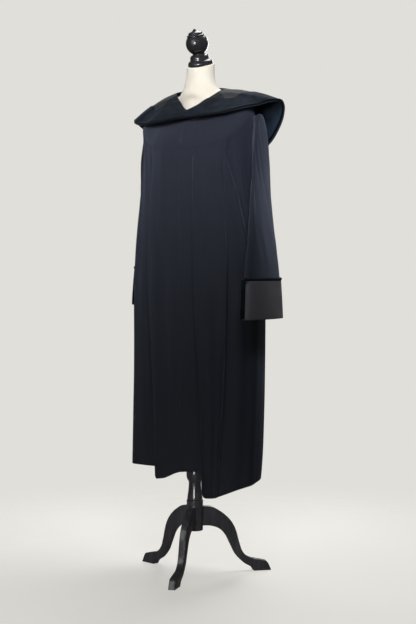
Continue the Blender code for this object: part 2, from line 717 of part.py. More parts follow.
def build_form(materials, collection):
    """The torso with its neck, one smooth solid."""
    rings = []
    turns = [360.0 * step / FORM_COLUMNS - BACK for step in range(FORM_COLUMNS)]
    for section in FORM_SECTIONS:
        rings.append([section_point(section, turn) for turn in turns])
    for level in SHOULDER_LEVELS:
        ring = []
        for turn in turns:
            away = CLOTH + REST_GAP + FRONT_CLEARANCE * math.cos(math.radians(turn)) ** 2
            ring.append(base_point(level, turn) - base_normal(level, turn) * away)
        rings.append(ring)
    for neck in NECK_RINGS:
        tilt = math.radians(neck.tilt)
        ring = []
        for turn in turns:
            angle = math.radians(turn)
            front = -neck.half_depth * math.cos(angle)
            ring.append(Vector((neck.half_width * math.sin(angle), neck.middle_y + front * math.cos(tilt),
                                neck.middle_z + front * math.sin(tilt))))
        rings.append(ring)
    make_loft("torso_form", rings, materials["jersey"], collection)


def arc(centre_r, centre_z, radius, start, end, steps):
    """Points of an arc in a turned profile, angles from the axis' upward direction."""
    points = []
    for step in range(steps + 1):
        angle = math.radians(start + (end - start) * step / steps)
        points.append((centre_r + radius * math.sin(angle), centre_z + radius * math.cos(angle)))
    return points


def build_finial(materials, collection):
    """Turned knob on a bell-shaped cap, tilted with the neck."""
    ball = arc(0.0, 0.0665, 0.0345, 50, 145, 10)
    profile = [(0.0, 0.1120), (0.0045, 0.1108), (0.0062, 0.1082), (0.0082, 0.1056), (0.0140, 0.1030),
               (0.0208, 0.1006), (0.0226, 0.0982), (0.0220, 0.0958), (0.0258, 0.0940), (0.0278, 0.0918)]
    profile += ball
    profile += [(0.0188, 0.0352), (0.0184, 0.0326), (0.0205, 0.0300), (0.0275, 0.0245), (0.0335, 0.0165),
                (0.0368, 0.0085), (0.0385, 0.0035), (0.0382, 0.0), (0.0, 0.0)]
    made = make_turned("finial", profile, ROUND_STEPS, materials["black_wood"], collection)
    last = NECK_RINGS[-1]
    tilt = math.radians(last.tilt)
    along_neck = Vector((0.0, -math.sin(tilt), math.cos(tilt)))
    made.location = Vector((0.0, last.middle_y, last.middle_z)) + along_neck * SEAM
    made.rotation_euler.x = tilt


def build_stand(materials, collection):
    """Pole, hub and three cabriole legs."""
    pole_low = HUB_TOP + 0.0045
    post = [(0.0, POLE_TOP - SEAM), (0.0165, POLE_TOP - SEAM), (0.0165, 0.340), (0.0190, 0.3335)]
    post += arc(0.0126, 0.309, 0.0140, 30, 125, 5)
    post += [(0.0203, 0.2900), (0.0188, 0.2830), (0.0185, 0.2740), (0.0202, 0.2560), (0.0226, 0.2400),
             (0.0235, pole_low + 0.0030), (0.0232, pole_low), (0.0, pole_low)]
    make_turned("post", post, ROUND_STEPS, materials["black_wood"], collection)

    hub = [(0.0, pole_low - SEAM), (0.0240, pole_low - SEAM), (0.0257, pole_low - 0.0020),
           (0.0257, HUB_TOP - 0.0015), (HUB_RADIUS, HUB_TOP - 0.0040), (HUB_RADIUS, HUB_BOTTOM + 0.0020),
           (HUB_RADIUS - 0.0020, HUB_BOTTOM), (0.0, HUB_BOTTOM)]
    make_turned("hub", hub, ROUND_STEPS, materials["black_wood"], collection)


# Outline of a leg: distance from the axis and height, from the hub along the top to the toe,
# then along the sole and the lower edge back to the hub. Corners are marked.
LegPoint = namedtuple("LegPoint", "reach height corner")
LEG_OUTLINE = (
    LegPoint(0.010, 0.2080, True), LegPoint(0.034, 0.2080, False), LegPoint(0.056, 0.2030, False),
    LegPoint(0.089, 0.1830, False), LegPoint(0.113, 0.1590, False), LegPoint(0.128, 0.1310, False),
    LegPoint(0.139, 0.0920, False), LegPoint(0.150, 0.0620, False), LegPoint(0.171, 0.0430, False),
    LegPoint(0.212, 0.0330, False), LegPoint(0.229, 0.0260, False), LegPoint(0.242, 0.0, True),
    LegPoint(0.186, 0.0, True), LegPoint(0.176, 0.0130, False), LegPoint(0.153, 0.0270, False),
    LegPoint(0.129, 0.0520, False), LegPoint(0.113, 0.0830, False), LegPoint(0.096, 0.1160, False),
    LegPoint(0.074, 0.1370, False), LegPoint(0.048, 0.1460, False), LegPoint(0.010, 0.1480, True),
)


def build_leg(name, heading, bore, materials, collection):
    """A flat board leg, its inner end hollowed to fit the round hub."""
    curve = bpy.data.curves.new(name, "CURVE")
    curve.dimensions = "2D"
    curve.fill_mode = "BOTH"
    curve.extrude = LEG_THICKNESS * 0.5
    curve.resolution_u = 3
    outline = curve.splines.new("BEZIER")
    outline.bezier_points.add(len(LEG_OUTLINE) - 1)
    outline.use_cyclic_u = True
    for place, point in zip(outline.bezier_points, LEG_OUTLINE):
        place.co = (point.reach, point.height, 0.0)
        kind = "VECTOR" if point.corner else "AUTO"
        place.handle_left_type = place.handle_right_type = kind
    drawn = bpy.data.objects.new(name, curve)
    collection.objects.link(drawn)
    drawn.rotation_euler = (math.radians(90), 0.0, math.radians(heading))
    bpy.context.view_layer.update()
    mesh = bpy.data.meshes.new_from_object(drawn.evaluated_get(bpy.context.evaluated_depsgraph_get()))
    bm = bmesh.new()
    bm.from_mesh(mesh)
    bmesh.ops.remove_doubles(bm, verts=bm.verts, dist=0.00001)
    bmesh.ops.recalc_face_normals(bm, faces=bm.faces)
    bm.to_mesh(mesh)
    bm.free()
    placed = drawn.matrix_world.copy()
    bpy.data.objects.remove(drawn)
    bpy.data.curves.remove(curve)
    leg = bpy.data.objects.new(name, mesh)
    leg.matrix_world = placed
    collection.objects.link(leg)
    mesh.materials.clear()
    mesh.materials.append(materials["black_wood"])
    cut = leg.modifiers.new("hub seat", "BOOLEAN")
    cut.operation = "DIFFERENCE"
    cut.object = bore
    return leg


def build_legs(materials, collection, cutters):
    """The three legs round the hub."""
    bpy.ops.mesh.primitive_cylinder_add(vertices=ROUND_STEPS * 2, radius=HUB_RADIUS + SEAM, depth=0.20,
                                        location=(0.0, 0.0, 0.18))
    bore = bpy.context.object
    bore.name = "hub_bore"
    bore.display_type = "WIRE"
    bore.hide_render = True
    for holder in list(bore.users_collection):
        holder.objects.unlink(bore)
    cutters.objects.link(bore)
    for name, heading in LEG_HEADINGS:
        build_leg(name, heading, bore, materials, collection)


def centre_on_floor(collection):
    """Move everything so that the origin is under the middle of the whole object."""
    bpy.context.view_layer.update()
    graph = bpy.context.evaluated_depsgraph_get()
    corners = []
    for made in collection.objects:
        corners += [made.matrix_world @ Vector(corner) for corner in made.evaluated_get(graph).bound_box]
    spans = [[corner[axis] for corner in corners] for axis in (0, 1)]
    middle_x, middle_y = [(min(span) + max(span)) * 0.5 for span in spans]
    for made in bpy.data.objects:
        made.location -= Vector((middle_x, middle_y, 0.0))


def main():
    for leftover in list(bpy.data.objects):
        bpy.data.objects.remove(leftover)
    collection = make_collection("lawyer_gown_on_form")
    cutters = make_collection("cutters")
    materials = make_materials()
    build_gown(materials, collection)
    build_form(materials, collection)
    build_finial(materials, collection)
    build_stand(materials, collection)
    build_legs(materials, collection, cutters)
    centre_on_floor(collection)


main()
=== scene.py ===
"""The look of a court gown with a velvet cape collar, hanging on a dress form.

Laid out as a Blender add-on: the sidebar's Gown tab lists one button for each group of
pieces. Metres, +Z up. The gown faces -Y, so the wearer's left is +X.
"""
import math
from collections import namedtuple

import bmesh
import bpy
import numpy as np
from bpy.props import FloatProperty, FloatVectorProperty, IntProperty, PointerProperty
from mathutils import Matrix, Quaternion, Vector, noise


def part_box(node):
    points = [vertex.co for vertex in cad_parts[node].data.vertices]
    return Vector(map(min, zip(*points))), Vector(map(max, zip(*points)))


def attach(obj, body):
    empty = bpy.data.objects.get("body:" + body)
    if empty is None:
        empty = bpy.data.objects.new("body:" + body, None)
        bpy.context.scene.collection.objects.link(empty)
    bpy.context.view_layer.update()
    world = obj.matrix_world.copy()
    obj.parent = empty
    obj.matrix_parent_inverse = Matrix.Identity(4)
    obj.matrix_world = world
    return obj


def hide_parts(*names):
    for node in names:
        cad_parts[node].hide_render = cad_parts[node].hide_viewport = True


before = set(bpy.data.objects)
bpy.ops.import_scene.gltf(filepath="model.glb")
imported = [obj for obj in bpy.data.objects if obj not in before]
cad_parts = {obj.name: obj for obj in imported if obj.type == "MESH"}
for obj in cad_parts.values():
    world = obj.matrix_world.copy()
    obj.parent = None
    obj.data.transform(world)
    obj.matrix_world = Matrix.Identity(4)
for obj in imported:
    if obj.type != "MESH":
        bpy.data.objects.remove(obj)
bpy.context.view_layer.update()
HUB_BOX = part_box("hub")
POLE = Vector(((HUB_BOX[0][0] + HUB_BOX[1][0]) / 2, (HUB_BOX[0][1] + HUB_BOX[1][1]) / 2, 0.0))

bl_info = {
    "name": "Court gown on a dress form",
    "version": (1, 0, 0),
    "blender": (4, 5, 0),
    "location": "3D View > Sidebar > Gown",
    "description": "Sews a long robe with a velvet collar and dresses a form with it",
    "category": "Object",
}

# The pattern: turns are degrees round the body from the centre front, positive to the wearer's left
SIDE, BACK = 90.0, 180.0
SEAM, LAY = 0.0003, 0.0005
FLY_OVERLAP, FLY_LIFT, FLY_FADE = 7.0, 0.0030, 24.0
HEM, ARMPIT, ARMHOLE_TOP, NECK_LEVEL = 0.30, 1.215, 1.392, 1.475
ARMHOLE_FRONT, ARMHOLE_BACK = 5.0, 18.0
SEAM_TURN = 0.08
Section = namedtuple("Section", "level front_z back_z half_width front back")
SECTIONS = (
    Section(0.300, 0.300, 0.300, 0.218, -0.112, 0.134),
    Section(0.600, 0.600, 0.600, 0.220, -0.096, 0.144),
    Section(0.930, 0.930, 0.930, 0.218, -0.093, 0.148),
    Section(1.125, 1.125, 1.125, 0.204, -0.093, 0.148),
    Section(1.215, 1.212, 1.213, 0.195, -0.093, 0.147),
    Section(1.300, 1.262, 1.275, 0.193, -0.091, 0.144),
    Section(1.360, 1.295, 1.315, 0.195, -0.087, 0.140),
    Section(1.405, 1.328, 1.362, 0.192, -0.081, 0.132),
)
Tucked = namedtuple("Tucked", "level along under")
TUCKED = (Tucked(1.450, 0.42, 0.0090), Tucked(1.475, 0.13, 0.0055))
Pleat = namedtuple("Pleat", "chest hem rise drop overlap reach side")
PLEATS = (
    Pleat(-34.5, -14.0, 0.010, 0.010, 3.2, 12.0, 1),
    Pleat(14.0, 30.0, 0.013, 0.012, 4.0, 10.0, 1),
    Pleat(45.0, 38.0, 0.005, 0.005, 0.6, 9.0, -1),
)
PLEAT_HALF, PLEAT_TOP, PLEAT_FULL, CENTRE_DRIFT = 1.5, 1.39, 0.78, 4.0
Fold = namedtuple("Fold", "turn height half")
FOLDS = (
    Fold(-158.0, 0.016, 11.0), Fold(-128.0, 0.012, 12.0), Fold(-66.0, 0.010, 14.0),
    Fold(76.0, 0.006, 12.0), Fold(130.0, 0.013, 12.0), Fold(160.0, 0.015, 11.0),
)
HEM_LINE = (
    (-180.0, 0.318), (-90.0, 0.330), (-36.1, 0.338), (-33.0, 0.302), (-22.0, 0.306), (-8.0, 0.322),
    (4.0, 0.332), (12.4, 0.335), (15.6, 0.266), (20.0, 0.2555), (30.0, 0.2545), (45.0, 0.2585),
    (52.0, 0.268), (60.0, 0.278), (72.0, 0.289), (90.0, 0.300), (130.0, 0.312), (180.0, 0.318),
)
HEM_ROUNDING = (-2.4, -1.2, 0.0, 1.2, 2.4)
Rib = namedtuple("Rib", "nx ny nz ex ey ez tilt crown bulge")
RIBS = (
    Rib(0.000, -0.042, 1.419, 0.000, -0.078, 1.392, 0.000, 0.004, 0.002),
    Rib(0.027, -0.026, 1.436, 0.064, -0.068, 1.391, 0.005, 0.005, 0.002),
    Rib(0.052, -0.008, 1.456, 0.130, -0.047, 1.394, 0.011, 0.007, 0.002),
    Rib(0.068, 0.005, 1.470, 0.176, -0.020, 1.402, 0.016, 0.008, 0.002),
    Rib(0.080, 0.016, 1.480, 0.222, 0.012, 1.411, 0.018, 0.009, 0.002),
    Rib(0.086, 0.025, 1.484, 0.252, 0.036, 1.421, 0.019, 0.009, 0.002),
    Rib(0.088, 0.035, 1.487, 0.272, 0.070, 1.423, 0.015, 0.007, 0.003),
    Rib(0.085, 0.047, 1.490, 0.257, 0.100, 1.394, 0.010, 0.012, 0.004),
    Rib(0.078, 0.058, 1.492, 0.228, 0.120, 1.358, 0.006, 0.019, 0.005),
    Rib(0.066, 0.067, 1.494, 0.188, 0.136, 1.320, 0.004, 0.025, 0.006),
    Rib(0.046, 0.075, 1.497, 0.130, 0.149, 1.290, 0.002, 0.029, 0.007),
    Rib(0.023, 0.081, 1.499, 0.064, 0.157, 1.276, 0.001, 0.033, 0.007),
    Rib(0.000, 0.083, 1.500, 0.000, 0.160, 1.271, 0.000, 0.033, 0.007),
)
SHOULDER_RIB = 6.0
BAND_START = (0.03, 0.03, 0.03, 0.56, 0.52, 0.55, 0.55, 0.55, 0.56, 0.58, 0.60, 0.60, 0.60)
BAND_END, COLLAR_END = 0.93, 0.012
Ring = namedtuple("Ring", "outer_x outer_z inner_x inner_z middle_y half_length turn")
SLEEVE_LEFT = (
    Ring(0.2110, 1.404, 0.2045, 1.216, 0.040, 0.038, 0.0),
    Ring(0.2200, 1.345, 0.2080, 1.207, 0.036, 0.052, 3.0),
    Ring(0.2300, 1.255, 0.2105, 1.187, 0.025, 0.067, 7.0),
    Ring(0.2490, 1.165, 0.2140, 1.150, 0.005, 0.085, 12.0),
    Ring(0.2670, 1.080, 0.2240, 1.076, -0.016, 0.096, 11.0),
    Ring(0.2800, 1.000, 0.2300, 0.998, -0.029, 0.103, 8.0),
    Ring(0.2890, 0.920, 0.2330, 0.919, -0.037, 0.107, 5.0),
    Ring(0.2960, 0.853, 0.2350, 0.853, -0.042, 0.110, 4.0),
    Ring(0.3000, 0.793, 0.2370, 0.793, -0.046, 0.112, 3.0),
)
SLEEVE_RIGHT = (
    Ring(0.2060, 1.376, 0.2045, 1.216, 0.048, 0.034, 0.0),
    Ring(0.2150, 1.330, 0.2080, 1.207, 0.058, 0.046, -1.0),
    Ring(0.2240, 1.255, 0.2110, 1.187, 0.077, 0.056, -2.0),
    Ring(0.2360, 1.175, 0.2130, 1.160, 0.097, 0.068, -3.0),
    Ring(0.2460, 1.090, 0.2180, 1.086, 0.110, 0.078, -3.0),
    Ring(0.2560, 1.020, 0.2220, 1.018, 0.119, 0.086, -3.0),
    Ring(0.2650, 0.950, 0.2260, 0.949, 0.125, 0.094, -3.0),
    Ring(0.2720, 0.885, 0.2290, 0.885, 0.127, 0.099, -3.0),
    Ring(0.2780, 0.826, 0.2310, 0.826, 0.128, 0.102, -3.0),
)
HEAD_LIFT, HEAD_REACH = 0.0020, 0.0023
CUFF_HEIGHT, CUFF_FLARE, EDGING_HEIGHT = 0.122, 0.0012, 0.009
STRIP_WIDTH, STRIP_TURN, STRIP_GAP, STRIP_END = 0.0175, 20.0, 0.0008, 0.0015
SATIN_LIFT, SATIN_WALL, EDGING_WALL, COLLAR_WALL = 0.0018, 0.0016, 0.0018, 0.0020
CUFF_CLEAR, STRIP_DEPTH = 0.0004, 0.0023
# The columns beside an armhole give way from this turn in front, and this far from the seam behind
GIVE_FRONT, GIVE_BACK = 60.0, 40.0
# Width of the columns at a pleat, and how near to it they stay that narrow, in degrees
PLEAT_COLUMN, PLEAT_NEAR = 0.25, 2.4
# A wall's edge is rounded out by this share of its thickness
EDGE_ROUNDING = 0.5
# Rows and columns of the finer meshes
CUFF_ROWS, EDGING_ROWS, STRIP_ROWS, STRIP_CORNERS = 26, 8, 30, 20
COLLAR_COLUMNS, FIELD_ROWS, BAND_ROWS, ROLL_CORNERS = 260, 12, 28, 14
FORM_COLUMNS, FORM_STEPS = 112, 8
# The rolled edge runs along the collar at this share of its width
ROLL_PLACE = 0.965
# The stand's lacquer is painted this much lighter than the knob's, to match the photo's tones: painted light
# standing in for the light and reflections the lamps give the stand too little of
STAND_PAINTED_LIGHT = 5.4

# Creases pressed into the robe, each along a line from one (turn, level) to the next:
# its height, negative for a valley, and its half width in degrees
Crease = namedtuple("Crease", "line height half")
CREASES = (
    Crease(((14.0, 1.350), (14.0, 1.200), (14.0, 1.050)), -0.0034, 1.5),
    Crease(((45.0, 1.350), (45.0, 1.200), (45.0, 1.050)), -0.0032, 1.5),
    Crease(((-34.5, 1.330), (-34.5, 1.200), (-34.5, 1.050)), -0.0026, 1.5),
    Crease(((44.0, 1.330), (49.0, 1.250), (58.0, 1.160), (68.0, 0.980)), 0.0074, 3.2),
    Crease(((50.0, 1.310), (56.0, 1.230), (65.0, 1.120), (75.0, 0.960)), -0.0066, 2.8),
    Crease(((18.0, 1.350), (24.0, 1.270), (27.0, 1.180)), -0.0050, 2.2),
    Crease(((30.0, 1.350), (34.0, 1.270), (36.0, 1.180)), 0.0042, 2.8),
    Crease(((52.0, 1.350), (57.0, 1.290), (60.0, 1.210)), -0.0052, 2.2),
    Crease(((66.0, 1.280), (68.0, 1.180), (74.0, 1.050)), 0.0040, 3.0),
    Crease(((-52.0, 1.330), (-48.0, 1.250), (-47.0, 1.150)), 0.0026, 3.4),
    Crease(((-66.0, 1.320), (-62.0, 1.240), (-58.0, 1.120)), -0.0024, 3.6),
    Crease(((-20.0, 1.360), (-18.0, 1.200), (-15.0, 1.000)), 0.0014, 3.4),
    Crease(((10.6, 0.700), (10.6, 0.520), (10.6, 0.340)), -0.0075, 2.6),
    Crease(((41.0, 0.720), (41.0, 0.560), (41.5, 0.400)), -0.0060, 3.4),
    Crease(((-38.5, 0.720), (-38.5, 0.560), (-38.0, 0.360)), -0.0060, 3.0),
    Crease(((26.0, 0.900), (27.0, 0.700), (27.0, 0.400)), 0.0056, 5.0),
    Crease(((58.0, 0.860), (60.0, 0.700), (60.0, 0.420)), 0.0060, 6.0),
    Crease(((-8.0, 0.900), (-9.0, 0.600), (-10.0, 0.360)), 0.0050, 5.0),
    Crease(((-24.0, 0.980), (-25.0, 0.720), (-26.0, 0.380)), 0.0044, 4.5),
    Crease(((-52.0, 0.900), (-54.0, 0.640), (-54.0, 0.380)), 0.0034, 5.0),
    Crease(((104.0, 1.130), (112.0, 1.000), (114.0, 0.700), (113.0, 0.340)), 0.0050, 5.5),
    Crease(((-104.0, 1.130), (-108.0, 1.000), (-109.0, 0.700), (-108.0, 0.360)), 0.0048, 5.5),
    Crease(((142.0, 1.260), (145.0, 1.050), (146.0, 0.760)), -0.0036, 5.0),
    Crease(((176.0, 1.240), (175.0, 1.000), (177.0, 0.620), (176.0, 0.340)), 0.0050, 6.0),
    Crease(((-142.0, 1.260), (-144.0, 1.040), (-144.0, 0.760)), -0.0036, 5.0),
)


def ease(value, low, high):
    """0 at low, 1 at high, with soft ends."""
    share = min(1.0, max(0.0, (value - low) / (high - low)))
    return share * share * (3.0 - 2.0 * share)


def spline(before, start, end, after, share):
    """Catmull-Rom between start and end, for numbers, vectors and arrays."""
    slope_in = (end - before) * 0.5
    slope_out = (after - start) * 0.5
    square, cube = share * share, share ** 3
    return (start * (2 * cube - 3 * square + 1) + slope_in * (cube - 2 * square + share)
            + end * (3 * square - 2 * cube) + slope_out * (cube - square))


def along_list(values, position):
    """Smooth value at a fractional place in a list."""
    last = len(values) - 1
    index = min(last - 1, max(0, int(math.floor(position))))
    before, after = values[max(0, index - 1)], values[min(last, index + 2)]
    return spline(before, values[index], values[index + 1], after, position - index)


def along_line(pairs, key):
    """Straight interpolation in a list of (key, value)."""
    if key <= pairs[0][0]:
        return pairs[0][1]
    for (low, first), (high, second) in zip(pairs, pairs[1:]):
        if key <= high:
            return first + (second - first) * (key - low) / (high - low)
    return pairs[-1][1]


def wander(x, y, seed):
    """Smooth noise between about -1 and 1."""
    return noise.noise(Vector((x, y, seed * 7.31)))


# The collar's surface

ALL_RIBS = [rib._replace(nx=-rib.nx, ex=-rib.ex, ez=rib.ez - rib.tilt) for rib in RIBS[:-1]]
ALL_RIBS += [rib._replace(ez=rib.ez + rib.tilt) for rib in reversed(RIBS)]
NECK_POINTS = [Vector((rib.nx, rib.ny, rib.nz)) for rib in ALL_RIBS]
EDGE_POINTS = [Vector((rib.ex, rib.ey, rib.ez)) for rib in ALL_RIBS]
CROWNS = [rib.crown for rib in ALL_RIBS]
BULGES = [rib.bulge for rib in ALL_RIBS]
BAND_STARTS = list(BAND_START[:-1]) + list(reversed(BAND_START))
LAST_RIB = len(ALL_RIBS) - 1


def collar_point(rib, along):
    """Point of the collar: rib counts from the right front end round the back, along goes
    from the neckline (0) to the outer edge (1)."""
    neck, edge = along_list(NECK_POINTS, rib), along_list(EDGE_POINTS, rib)
    outward = Vector((edge.x - neck.x, edge.y - neck.y, 0.0)).normalized()
    middle = (neck + edge) * 0.5 + Vector((0.0, 0.0, 2.0 * along_list(CROWNS, rib)))
    middle += outward * (2.0 * along_list(BULGES, rib))
    return neck * (1 - along) ** 2 + middle * (2 * along * (1 - along)) + edge * along ** 2


def collar_normal(rib, along):
    """Upward normal of the collar's surface."""
    step = 0.02
    round_neck = collar_point(min(LAST_RIB, rib + step), along) - collar_point(max(0.0, rib - step), along)
    outward = collar_point(rib, along + step) - collar_point(rib, along - step)
    normal = round_neck.cross(outward).normalized()
    return normal if normal.z > 0 else -normal


def rib_at(turn):
    """The collar rib above a turn round the body."""
    from_front = abs(turn)
    if from_front <= SIDE:
        place = from_front / SIDE * SHOULDER_RIB
    else:
        place = SHOULDER_RIB + (from_front - SIDE) / SIDE * (len(RIBS) - 1 - SHOULDER_RIB)
    return LAST_RIB - place if turn >= 0 else place


# The robe's surface

def section_point(section, turn):
    """Point of a body section, an ellipse whose height varies from front to side to back."""
    angle = math.radians(turn)
    middle = (section.front + section.back) * 0.5
    depth = (section.back - section.front) * 0.5
    end_z = section.front_z if math.cos(angle) > 0 else section.back_z
    height = end_z + (section.level - end_z) * abs(math.sin(angle)) ** 4
    return Vector((section.half_width * math.sin(angle), middle - depth * math.cos(angle), height))


def tucked_point(tucked, turn):
    """Point of the cloth under the collar."""
    rib = rib_at(turn)
    return collar_point(rib, tucked.along) - collar_normal(rib, tucked.along) * tucked.under


ROWS = SECTIONS + TUCKED
ROW_LEVELS = [row.level for row in ROWS]


def base_point(level, turn):
    """Unfolded body surface."""
    last = len(ROWS) - 1
    index = 0
    while index < last - 1 and level > ROW_LEVELS[index + 1]:
        index += 1
    share = (level - ROW_LEVELS[index]) / (ROW_LEVELS[index + 1] - ROW_LEVELS[index])
    points = []
    for row in (ROWS[max(0, index - 1)], ROWS[index], ROWS[index + 1], ROWS[min(last, index + 2)]):
        points.append(section_point(row, turn) if isinstance(row, Section) else tucked_point(row, turn))
    return spline(*points, share)


def base_normal(level, turn):
    """Outward normal of the unfolded body surface."""
    step = 0.004
    across = base_point(level, turn + 1.0) - base_point(level, turn - 1.0)
    upward = base_point(min(NECK_LEVEL, level + step), turn) - base_point(level - step, turn)
    return across.cross(upward).normalized()


def hem_height(cloth_turn):
    """Height of the hem at this thread, its corners rounded."""
    return sum(along_line(HEM_LINE, wrapped(cloth_turn + step)) for step in HEM_ROUNDING) / len(HEM_ROUNDING)


def wrapped(cloth_turn):
    """The same turn between -180 and 180."""
    return (cloth_turn + BACK) % (2 * BACK) - BACK


def drifted(cloth_turn, level):
    """Turn in space of a thread of the cloth: the pleats and the centre wander towards the hem."""
    if abs(cloth_turn) >= SIDE:
        return cloth_turn
    share = 1.0 - ease(level, HEM - 0.2, ARMPIT)
    pairs = [(-SIDE, -SIDE)]
    for chest, hem in [(pleat.chest, pleat.hem) for pleat in PLEATS] + [(0.0, CENTRE_DRIFT)]:
        pairs.append((chest, chest + (hem - chest) * share))
    pairs.append((SIDE, SIDE))
    return along_line(sorted(pairs), cloth_turn)


def folded(cloth_turn, level):
    """Turn in space and height over the base surface, with all pleats and folds."""
    cloth_turn = wrapped(cloth_turn)
    depth = 1.0 - ease(level, PLEAT_FULL, PLEAT_TOP)
    turn = drifted(cloth_turn, level)
    height = 0.0
    for pleat in PLEATS:
        weight = depth * (0.25 + 0.75 * ease(level, HEM, 0.62)) if pleat is PLEATS[2] else depth
        offset = (cloth_turn - pleat.chest) * pleat.side
        swing = (PLEAT_HALF + pleat.overlap * 0.5) * weight
        if offset >= PLEAT_HALF:
            fade = math.exp(-((offset - PLEAT_HALF) / pleat.reach) ** 2)
            turn -= swing * fade * pleat.side
            height += pleat.rise * weight * fade
        elif offset <= -PLEAT_HALF:
            fade = math.exp(-((offset + PLEAT_HALF) / pleat.reach) ** 2)
            turn += swing * fade * pleat.side
            height -= pleat.drop * weight * fade
        else:
            share = offset / PLEAT_HALF
            turn -= swing * share * pleat.side
            height += ((pleat.rise + pleat.drop) * share + pleat.rise - pleat.drop) * 0.5 * weight
    for fold in FOLDS:
        offset = (cloth_turn - fold.turn) / fold.half
        if abs(offset) < 1.0:
            height += fold.height * depth * (0.5 + 0.5 * math.cos(math.pi * offset))
    return turn, height


def creased(cloth_turn, level):
    """Height of the small creases over the folded cloth."""
    cloth_turn = wrapped(cloth_turn)
    height = 0.0025 * wander(cloth_turn / 15.0, level * 1.3, 1)
    height += 0.0008 * wander(cloth_turn / 8.0, level * 3.0, 2)
    height += 0.00025 * wander(cloth_turn / 4.0, level * 9.0, 3)
    for crease in CREASES:
        levels = [step[1] for step in crease.line]
        if not levels[-1] - 0.12 < level < levels[0] + 0.12:
            continue
        centre = along_line([(step[1], step[0]) for step in reversed(crease.line)], level)
        offset = (cloth_turn - centre) / crease.half
        if abs(offset) < 2.6:
            ends = ease(level, levels[-1] - 0.11, levels[-1] + 0.10)
            ends *= 1 - ease(level, levels[0] - 0.06, levels[0] + 0.07)
            height += crease.height * math.exp(-offset * offset) * ends
    near_armhole = ease(level, 1.10, 1.20) * (1.0 - ease(abs(abs(cloth_turn) - 97.0), 16.0, 30.0))
    return height * (1.0 - near_armhole) * (1.0 - ease(level, 1.34, 1.41))


def body_point(level, cloth_turn, lift=0.0, crease=1.0):
    """Outer face of the gown's body."""
    turn, height = folded(cloth_turn, level)
    point = base_point(level, turn)
    tangent = base_point(level, turn + 0.5) - point
    sideways = Vector((tangent.y, -tangent.x, 0.0)).normalized()
    point += sideways * (height + lift + crease * creased(cloth_turn, level))
    if level < ARMPIT:
        share = (ARMPIT - level) / (ARMPIT - HEM)
        point.z += (hem_height(cloth_turn) - HEM) * share
    point.z += 0.6 * lift * ease(level, 1.36, 1.42)
    return point


def armhole_width(level):
    """How far open the armhole is: 1 at its middle, 0 at its ends and beyond."""
    middle, half = (ARMPIT + ARMHOLE_TOP) * 0.5, (ARMHOLE_TOP - ARMPIT) * 0.5
    return math.sqrt(max(0.0, 1.0 - ((level - middle) / half) ** 2))


# Mesh builders

def new_piece(name, material, cad_nodes=()):
    """An empty mesh object that rides on the one body and stands for the named CAD nodes."""
    piece = bpy.data.objects.new(name, bpy.data.meshes.new(name))
    bpy.context.scene.collection.objects.link(piece)
    piece.data.materials.append(material)
    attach(piece, "root")
    if cad_nodes:
        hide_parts(*cad_nodes)
    return piece


def fill_mesh(piece, points, faces, laid_out):
    """Put points and faces in a piece. laid_out gives each face corner's place on the flat cloth."""
    mesh = piece.data
    mesh.from_pydata([tuple(point) for point in points], [], faces)
    layer = mesh.uv_layers.new(name="cloth")
    layer.data.foreach_set("uv", np.array(laid_out, dtype=np.float32).ravel())
    mesh.validate()
    mesh.shade_smooth()
    mesh.update()


def unit(vectors):
    """The same directions at length one."""
    return vectors / np.maximum(np.linalg.norm(vectors, axis=-1, keepdims=True), 1e-12)


def joined(grid):
    """A closed grid with its first column again at the end."""
    return np.concatenate([grid, grid[:, :1]], axis=1)


def running(grid, axis):
    """Length so far along a grid's columns (0) or rows (1), from 0."""
    steps = np.linalg.norm(np.diff(grid, axis=axis), axis=2)
    return np.insert(np.cumsum(steps, axis=axis), 0, 0.0, axis=axis)


def as_grid(rows):
    """Rows of points as one array."""
    return np.array([[tuple(point) for point in row] for row in rows])


def cloth_normals(face, closed):
    """Normals of a grid of points, rows going up and columns going to the wearer's left."""
    if closed:
        across = np.roll(face, -1, axis=1) - np.roll(face, 1, axis=1)
    else:
        across = np.gradient(face, axis=1)
    return unit(np.cross(across, np.gradient(face, axis=0)))


def flat_size(face, closed=False):
    """Width, length and area of the cloth of one face, laid flat."""
    ring = joined(face) if closed else face
    widths = np.linalg.norm(np.diff(ring, axis=1), axis=2).sum(axis=1)
    lengths = np.linalg.norm(np.diff(face, axis=0), axis=2).sum(axis=0)
    diagonals = np.cross(ring[1:, 1:] - ring[:-1, :-1], ring[1:, :-1] - ring[:-1, 1:])
    area = np.linalg.norm(diagonals, axis=2).sum() * 0.5
    return float(widths.max()), float(lengths.max()), float(area)


